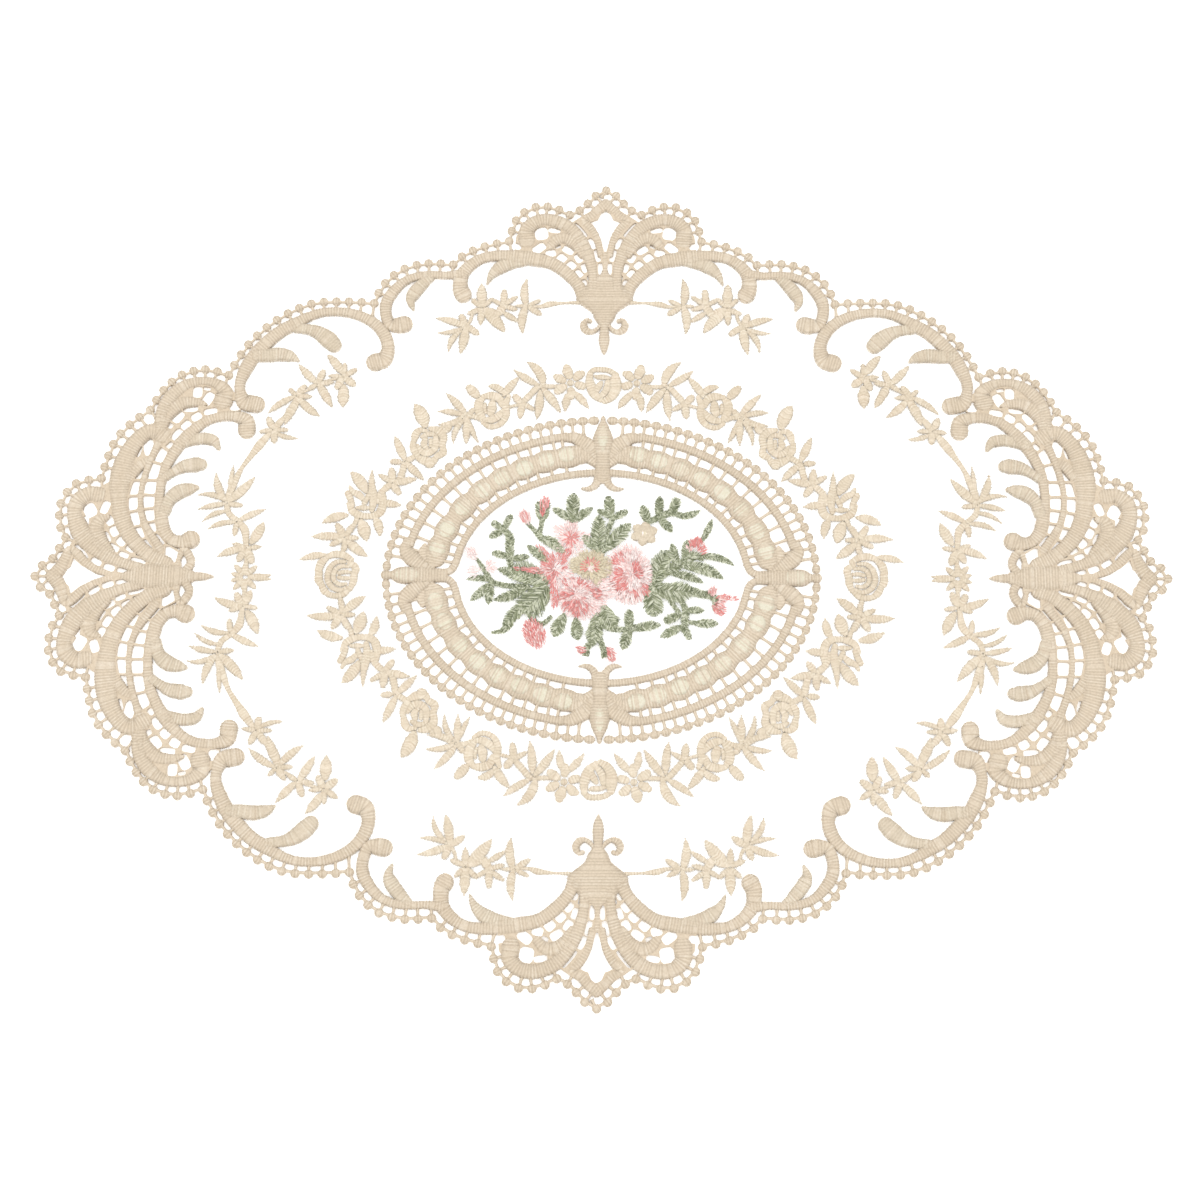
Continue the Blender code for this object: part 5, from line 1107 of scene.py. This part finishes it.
def thread(row):
    """Twisted satin thread: streaks of tone across the band, a slow drift of colour and fine filaments."""
    tree, shader = material_nodes(row.name, Roughness=row.roughness, Sheen_Weight=0.25,
                                  Specular_IOR_Level=0.35)
    place = new_node(tree, "TexCoord")
    weave = new_node(tree, "UVMap")
    weave.uv_map = "weave"
    stretch = new_node(tree, "Mapping", Scale=(9.0, 4.0, 1.0))
    streaks = new_node(tree, "TexNoise", Scale=1.0, Detail=3.0)
    drift = new_node(tree, "TexNoise", Scale=55.0, Detail=2.0)
    grain = new_node(tree, "TexNoise", Scale=1500.0, Detail=1.0)
    blend = new_node(tree, "Mix", Factor=0.4)
    speckle = new_node(tree, "Mix", Factor=0.45)
    tones = new_node(tree, "ValToRGB")
    ends = tones.color_ramp.elements
    for end, position, colour in zip(ends, (0.36, 0.62), (row.dark, row.light)):
        end.position = position
        end.color = srgb(colour)
    twist = new_node(tree, "Mapping", Scale=(40.0, 3.0, 1.0))
    filaments = new_node(tree, "TexNoise", Scale=1.0)
    relief = new_node(tree, "Bump", Strength=0.5, Distance=0.00006)
    connect(tree, [
        (weave, "UV", stretch, "Vector"), (stretch, "Vector", streaks, "Vector"),
        (place, "Object", drift, "Vector"), (place, "Object", grain, "Vector"),
        (streaks, "Fac", blend, 2), (drift, "Fac", blend, 3),
        (blend, 0, speckle, 2), (grain, "Fac", speckle, 3),
        (speckle, 0, tones, "Fac"), (tones, "Color", shader, "Base Color"),
        (weave, "UV", twist, "Vector"), (twist, "Vector", filaments, "Vector"),
        (filaments, "Fac", relief, "Height"), (relief, "Normal", shader, "Normal"),
    ])


def net_material():
    """Sheer white tulle: fine crossing threads with mostly air between them."""
    tree, shader = material_nodes("sheer_net", Base_Color=(0.95, 0.95, 0.95, 1.0), Roughness=0.6)
    place = new_node(tree, "TexCoord")
    strands = []
    for angle in (30, -30, 90):
        turn = new_node(tree, "Mapping", Rotation=(0.0, 0.0, math.radians(angle)))
        strands.append(new_node(tree, "TexWave", Scale=300.0))
        connect(tree, [(place, "Object", turn, "Vector"), (turn, "Vector", strands[-1], "Vector")])
    either, most = new_node(tree, "Math"), new_node(tree, "Math")
    either.operation = most.operation = "MAXIMUM"
    cover = new_node(tree, "MapRange", From_Min=0.86, From_Max=1.0, To_Min=0.02, To_Max=0.4)
    connect(tree, [
        (strands[0], "Fac", either, 0), (strands[1], "Fac", either, 1), (either, 0, most, 0),
        (strands[2], "Fac", most, 1), (most, 0, cover, "Value"), (cover, 0, shader, "Alpha"),
    ])


def make_materials():
    for row in THREADS:
        thread(row)
    net_material()
    material_nodes("white_floor", Base_Color=(0.93, 0.93, 0.93, 1.0), Roughness=0.9,
                   Emission_Color=(1.0, 1.0, 1.0, 1.0), Emission_Strength=0.3)


# ---------------- the border
def picot_spots():
    """The border's picots in one quarter, from the back to the side: place and outward direction."""
    spots = []
    for run in PICOT_RUNS:
        stops = even(smooth([(*point, 1.0) for point in run.line], 8), 0.5)
        turns = headings(stops)
        for k in range(run.count):
            i = round((len(stops) - 1) * k / run.count)
            (x, y, _), (u, v) = stops[i], turns[i]
            spots.append((x - v * PICOT_OUT, y + u * PICOT_OUT, -v, u))
    return spots + [(PICOT_TIP + PICOT_OUT, 0.0, 1.0, 0.0)]


def leg_length(x, y, out, covers):
    """How far a picot's leg runs inwards until it is well over a band."""
    for step in range(9, 60):
        depth = step * LEG_STEP
        if any(inside(cover, *inwards(x, y, out, depth)) for cover in covers):
            return depth + LEG_SINK
    return LEG_LOOSE


def make_border_picots(covers):
    picots = Work("border_picots")
    spots = [((x, y), (u, v), leg_length(x, y, (u, v), covers)) for x, y, u, v in picot_spots()]
    for flip in FLIPS:
        row = [(*mirror_line([place, out], *flip), leg) for place, out, leg in spots]
        for k, (place, out, leg) in enumerate(row):
            if (k == 0 and flip[0]) or (k == len(row) - 1 and flip[1]):
                continue
            bead(picots, *place, PICOT_BEAD, turn=math.degrees(math.atan2(out[1], out[0])) + 90)
            bar(picots, place, inwards(*place, out, leg), PICOT_LEG)
        for one, two in zip(row, row[1:]):
            bar(picots, inwards(*one[0], one[1], 1), inwards(*two[0], two[1], 1), PICOT_LEG)
    picots.finish()


def make_border():
    bands, fans = Work("border_bands"), Work("border_fans")
    covers = []
    for number, (name, stations) in enumerate(BORDER_BANDS.items()):
        line = band(stations)
        covers.append(patch(outline_of(line)))
        stitched(fans if name in FAN_BANDS else bands, line, CREAM if name in PALE_BANDS else BEIGE,
                 LACE_BOTTOM, LACE_TOP - BAND_STEP * (number % 4))
    bands.finish()
    fans.finish()
    grounds = Work("border_ground")
    cuts = [opening(row) for row in OPENINGS] + [soften(BASE_WINDOW, WINDOW_SOFT)]
    cuts += ladder_cells(LADDER_LEFT) + ladder_cells(LADDER_RIGHT) + [STAR_BACK, STAR_SIDE]
    for flip in FLIPS:
        ground(grounds, [mirror_line(area, *flip) for area in (BACK_FAN_GROUND, SIDE_FAN_GROUND)],
               [mirror_line(cut, *flip) for cut in cuts])
    grounds.finish(False)
    make_border_picots(covers)
    sprays = Work("fleur_sprays")
    for stations in BACK_SPRAY_STEMS:
        stitched(sprays, band(stations), CREAM, MOTIF_BOTTOM, MOTIF_TOP)
    for row in BACK_SPRAY:
        stitched(sprays, leaf(row), CREAM, MOTIF_BOTTOM, MOTIF_TOP, **AS_LEAF)
    sprays.finish()


# ---------------- the medallion ring
def ring_out(ring, x, y):
    """The direction square to an oval at a point on it."""
    out_x, out_y = x / ring.reach_x ** 2, y / ring.reach_y ** 2
    length = math.hypot(out_x, out_y)
    return out_x / length, out_y / length


def ring_bars(ring, angles, depth, more):
    """Straight lines inwards from an oval band, longer by this much more towards its sides."""
    lines = []
    for turn in angles:
        spot = ring_point(ring, turn)
        reach = depth + more * math.sin(math.radians(turn)) ** 2
        lines.append([spot, inwards(*spot, ring_out(ring, *spot), reach)])
    return lines


def ring_spots():
    """The ring's picots in one quarter: place and outward direction."""
    stops = even([(*ring_point(PICOT_LINE, 90 * k / 300), 1.0) for k in range(301)], 0.4)
    spare = round(PICOT_START / math.dist(stops[0][:2], stops[1][:2]))
    spots = []
    for k in range(RING_PICOTS):
        x, y, _ = stops[spare + round((len(stops) - 1 - 2 * spare) * k / (RING_PICOTS - 1))]
        spots.append([(x, y), ring_out(PICOT_LINE, x, y)])
    return spots


def fleur_petal(bands, beads, petal, gloss, flip):
    """The middle petal of a fleur, with its pale gloss."""
    stitched(bands, band(petal), BEIGE, LACE_BOTTOM, PETAL_TOP, [flip])
    stitched(beads, leaf(gloss), PEARL, PEARL_BOTTOM, GLOSS_TOP, [flip])


def make_medallion():
    bands, beads, picots = [Work(name, RING_RISE, RING_LEAN)
                            for name in ("ring_bands", "ring_beads", "ring_picots")]
    chain = []
    for x, y, width in ring_line(BEAD_BAND, CHAIN_FIRST, CHAIN_LAST, 160):
        near = min(math.dist((x, y), spot) for spot in BEADS)
        chain.append((x, y, width * (1 - (1 - NECK) * min(1.0, near / NECK_REACH) ** 2)))
    outer = ring_line(OUTER_BAND, OUTER_FIRST, OUTER_LAST, 60)
    inner = ring_line(INNER_BAND, 0.0, INNER_LAST, 60)[:-2] + smooth(SIDE_TURN, 4)
    rows = [(bands, outer, BEIGE, LACE_BOTTOM, LACE_TOP), (bands, inner, BEIGE, LACE_BOTTOM, LACE_TOP),
            (bands, rounded(chain), BEIGE, LACE_BOTTOM, BEAD_TOP)]
    for x, y in BEADS:
        turn = math.degrees(math.atan2(-x / BEAD_BAND.reach_x ** 2, y / BEAD_BAND.reach_y ** 2))
        rows.append((beads, oval(x, y, BEAD_LENGTH, BEAD_WIDTH, turn), PEARL, PEARL_BOTTOM, LACE_TOP))
    for number, stations in enumerate((SIDE_TOOTH, RING_LOWER_LOBE, RING_UPPER_LOBE, RING_CURL, SIDE_CURL)):
        rows.append((bands, band(stations), BEIGE, LACE_BOTTOM, LOBE_TOP + LOBE_STEP * min(number, 3)))
    bars = ring_bars(OUTER_BAND, MIDDLE_BARS, *MIDDLE_DEPTH)
    bars += ring_bars(BEAD_BAND, INNER_BARS, *INNER_DEPTH)
    for flip in FLIPS:
        for row in rows:
            stitched(*row, [flip])
        for line in bars:
            bar(picots, *mirror_line(line, *flip), RING_BAR, chance.uniform(-0.5, 0.5))
    for flip in ENDS:
        fleur_petal(bands, beads, RING_PETAL, RING_GLOSS, flip)
    for flip in SIDES:
        tip, base = mirror_line([(PICOT_LINE.reach_x, 0.0), TIP_BAR_BASE], *flip)
        bead(picots, *tip, PICOT_BEAD * 1.15)
        bar(picots, base, tip, TIP_BAR)
        fleur_petal(bands, beads, SIDE_PETAL, SIDE_GLOSS, flip)
    bands.finish()
    beads.finish()
    spots = ring_spots()
    for flip in FLIPS:
        last = None
        for k, spot in enumerate(spots):
            place, out = mirror_line(spot, *flip)
            bead(picots, *place, PICOT_BEAD * 0.96, turn=math.degrees(math.atan2(out[1], out[0])) + 90,
                 length=PICOT_BEAD * (1.08 + 0.12 * max(0.0, 1 - k / 8)), stitch=STITCH)
            if 0 < k < RING_PICOTS - 1:
                bar(picots, place, inwards(*place, out, RING_LEG), RING_BAR)
            foot = inwards(*place, out, 1)
            if last:
                bar(picots, foot, last, PICOT_LEG)
            last = foot
    picots.finish()


# ---------------- garland and sprays
def make_garland():
    leaves, roses = [Work(name, 0.0, GARLAND_LEAN, GARLAND_SQUEEZE)
                     for name in ("garland_leaves", "garland_roses")]
    for stations in GARLAND_STEMS:
        stitched(leaves, band(stations), CREAM, MOTIF_BOTTOM, STEM_TOP, fray=LEAF_FRAY)
    for row in GARLAND_LEAVES:
        stitched(leaves, leaf(row), CREAM, MOTIF_BOTTOM, MOTIF_TOP, **AS_LEAF)
    for rose in GARLAND_ROSES:
        for flip in copies([(rose.x, rose.y)]):
            for number, petal in enumerate(rose.petals):
                line = [(x * rose.size, y * rose.size, width * ROSE_SLIM) for x, y, width in band(petal)]
                stitched(roses, moved(line, rose.x, rose.y), CREAM, MOTIF_BOTTOM,
                         MOTIF_TOP - ROSE_STEP * (number % 3), [flip])
    for petal in BLOOM_PETALS:
        stitched(roses, moved(band(petal), *BLOOM_MIDDLE), CREAM, MOTIF_BOTTOM, MOTIF_TOP)
    for flip in FLIPS:
        bead(roses, *mirror_line([BLOOM_MIDDLE], *flip)[0], BLOOM_EYE, CREAM, MOTIF_BOTTOM, MOTIF_TOP)
    stitched(leaves, leaf(SIDE_ROSE_LEAF), CREAM, MOTIF_BOTTOM, MOTIF_TOP, SIDES, **AS_LEAF)
    leaves.finish()
    roses.finish()


def make_side_sprays():
    rows = [(band(stations), STEM_TOP, {}) for stations in SIDE_SPRAY_STEMS]
    rows += [(leaf(row), MOTIF_TOP, AS_LEAF) for row in SIDE_SPRAY]
    rows += [(leaf(row), MOTIF_TOP, {}) for row in SIDE_BLOOM_PETALS]
    for name, flip_x in (("spray_right", False), ("spray_left", True)):
        spray = Work(name, SPRAY_RISE)
        for flip in ((flip_x, False), (flip_x, True)):
            for line, top, extra in rows:
                stitched(spray, moved(line, -SPRAY_IN, 0), CREAM, MOTIF_BOTTOM, top, [flip], **extra)
        spray.finish()


# ---------------- bouquet
def round_about(middle, degrees, reach_x, reach_y):
    angle = math.radians(degrees)
    return middle[0] + reach_x * math.cos(angle), middle[1] + reach_y * math.sin(angle)


def make_bouquet():
    greens, flowers = Work("bouquet_leaves", BOUQUET_RISE), Work("bouquet_flowers")
    for stations in BOUQUET_STEMS:
        herringbone(greens, band(stations), GREEN, MOTIF_BOTTOM, GREEN_STEM_TOP)
    for number, row in enumerate(BOUQUET_LEAVES):
        herringbone(greens, leaf(row), GREEN, MOTIF_BOTTOM, LACE_TOP - GREEN_STEP * (number % 3))
    for number, (middle, petals) in enumerate(FLOWERS):
        rise = FLOWER_STEP * (number % 3) if number < LARGE_FLOWERS else BUD_RISE
        embroider(flowers, petals, middle, FLOWER_TOP + rise)
    for tip in STAR_RAYS:
        stroke(flowers, FLOWERS[1].middle, tip, STAR_RAY_WIDTH, "rose_deep", RAY_BOTTOM, PETAL_TOP)
    for k in range(TAN_RAYS):
        near, far = chance.uniform(3, 5), chance.uniform(9, 12.5)
        turn = TAN_FIRST + TAN_SPAN * k / (TAN_RAYS - 1)
        ends = [round_about(FLOWERS[2].middle, turn, reach, reach) for reach in (near, far)]
        stroke(flowers, *ends, TAN_RAY_WIDTH, "rose_deep", RAY_BOTTOM, PETAL_TOP)
    for k in range(SMALL_TAN_PETALS):
        tip = round_about(SMALL_TAN, 20 + k * 360 / SMALL_TAN_PETALS, 14, 13)
        satin(flowers, leaf(Leaf(*SMALL_TAN, *tip, 11)), SMALL_TAN_LOOK, MOTIF_BOTTOM, SMALL_TAN_TOP)
    bead(flowers, *SMALL_TAN, 6, SMALL_TAN_EYE, MOTIF_BOTTOM, PETAL_TOP)
    greens.finish()
    flowers.finish()


# ---------------- the net
NET_GRID = 12               # chart squares between the points of a sheet's ripples
GRID_X, GRID_Y = 38, 30     # these points from the middle to each side
RIPPLE_X, RIPPLE_Y = 23, 19
OVAL_POINTS = 72            # round the ring's edges of both sheets
HOLE_INSET = -2.0           # the field net ends this far inside the ring's picots
NET_EDGE = [                # one quarter of the field net's edge, under the border
    (0, 292), (24, 304), (44, 334), (75, 344.5), (112, 348), (150, 327), (180, 326.8), (208, 320),
    (226, 297), (228, 266), (248, 279), (275, 285), (305, 279.5), (335, 262.5), (360, 236), (373, 206),
    (372, 170), (400, 166.5), (436, 129), (447, 82), (440, 48), (416, 28), (411, 0),
]


def make_nets():
    """The sheer ground: one sheet round the ring and one inside it."""
    right = NET_EDGE + mirror_line(NET_EDGE, False, True)[-2::-1]
    edge = right + mirror_line(right, True, False)[-2:0:-1]
    hole, centre = [[ring_point(ring, 360.0 * k / OVAL_POINTS, outward) for k in range(OVAL_POINTS)]
                    for ring, outward in ((PICOT_LINE, HOLE_INSET), (INNER_BAND, 0.0))]
    nets = []
    for name, outlines, cuts in (("field_sheet", [edge], [hole]), ("centre_sheet", [centre], [])):
        net = Work(name)
        sheet(net, outlines, cuts)
        nets.append(net.finish())
    return nets


# ---------------- studio
LAMPS = [("key_light", 6.5, (-0.4, 0.3, 1.15)), ("fill_light", 5.0, (0.5, -0.25, 1.2))]
LAMP_SIZE = 1.4
CAMERA_TILT = 15.85         # degrees from looking straight down
CAMERA_REACH = 0.7498       # from the mat's middle
CAMERA_LENS = 64.2
PICTURE = 1200              # pixels along the photograph's side
PICTURE_SHIFT = (-1.3, -21.8)       # of the mat's middle from the picture's, in its pixels


def link_new(name, data):
    """A new object in the scene."""
    thing = bpy.data.objects.new(name, data)
    bpy.context.scene.collection.objects.link(thing)
    return thing


def make_studio():
    bpy.ops.mesh.primitive_plane_add(size=4.0, location=(0.0, 0.0, 0.0))
    floor = bpy.context.object
    floor.name = "floor"
    floor.data.materials.append(bpy.data.materials["white_floor"])
    world = bpy.data.worlds.new("studio")
    bpy.context.scene.world = world
    world.use_nodes = True
    preset(world.node_tree.nodes["Background"], Color=(1.0, 1.0, 1.0, 1.0), Strength=0.97)
    for name, power, place in LAMPS:
        lamp = bpy.data.lights.new(name, "AREA")
        lamp.size = LAMP_SIZE
        lamp.energy = power
        lit = link_new(name, lamp)
        lit.location = place
        lit.rotation_euler = (-Vector(place)).to_track_quat("-Z", "Y").to_euler()
    bpy.context.scene.view_settings.view_transform = "Standard"


def make_camera():
    lens = bpy.data.cameras.new("camera")
    lens.lens = CAMERA_LENS
    lens.sensor_width = 36.0
    lens.shift_x = PICTURE_SHIFT[0] / PICTURE
    lens.shift_y = PICTURE_SHIFT[1] / PICTURE
    camera = link_new("camera", lens)
    tilt = math.radians(CAMERA_TILT)
    camera.location = (0.0, -CAMERA_REACH * math.sin(tilt), CAMERA_REACH * math.cos(tilt))
    camera.rotation_euler = (tilt, 0.0, 0.0)
    bpy.context.scene.camera = camera


make_camera()
make_materials()
make_studio()
make_border()
make_medallion()
make_garland()
make_side_sprays()
make_bouquet()
field_sheet, centre_sheet = make_nets()

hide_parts("lace_border")
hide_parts("medallion_lace")
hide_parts("rose_garland")
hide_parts("side_spray_right")
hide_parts("side_spray_left")
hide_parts(*[f"bouquet_greens_{k}" for k in range(1, 10)])
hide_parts("bouquet_roses", *[f"bouquet_bud_{k}" for k in range(1, 9)])
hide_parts("field_net")
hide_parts("centre_net")
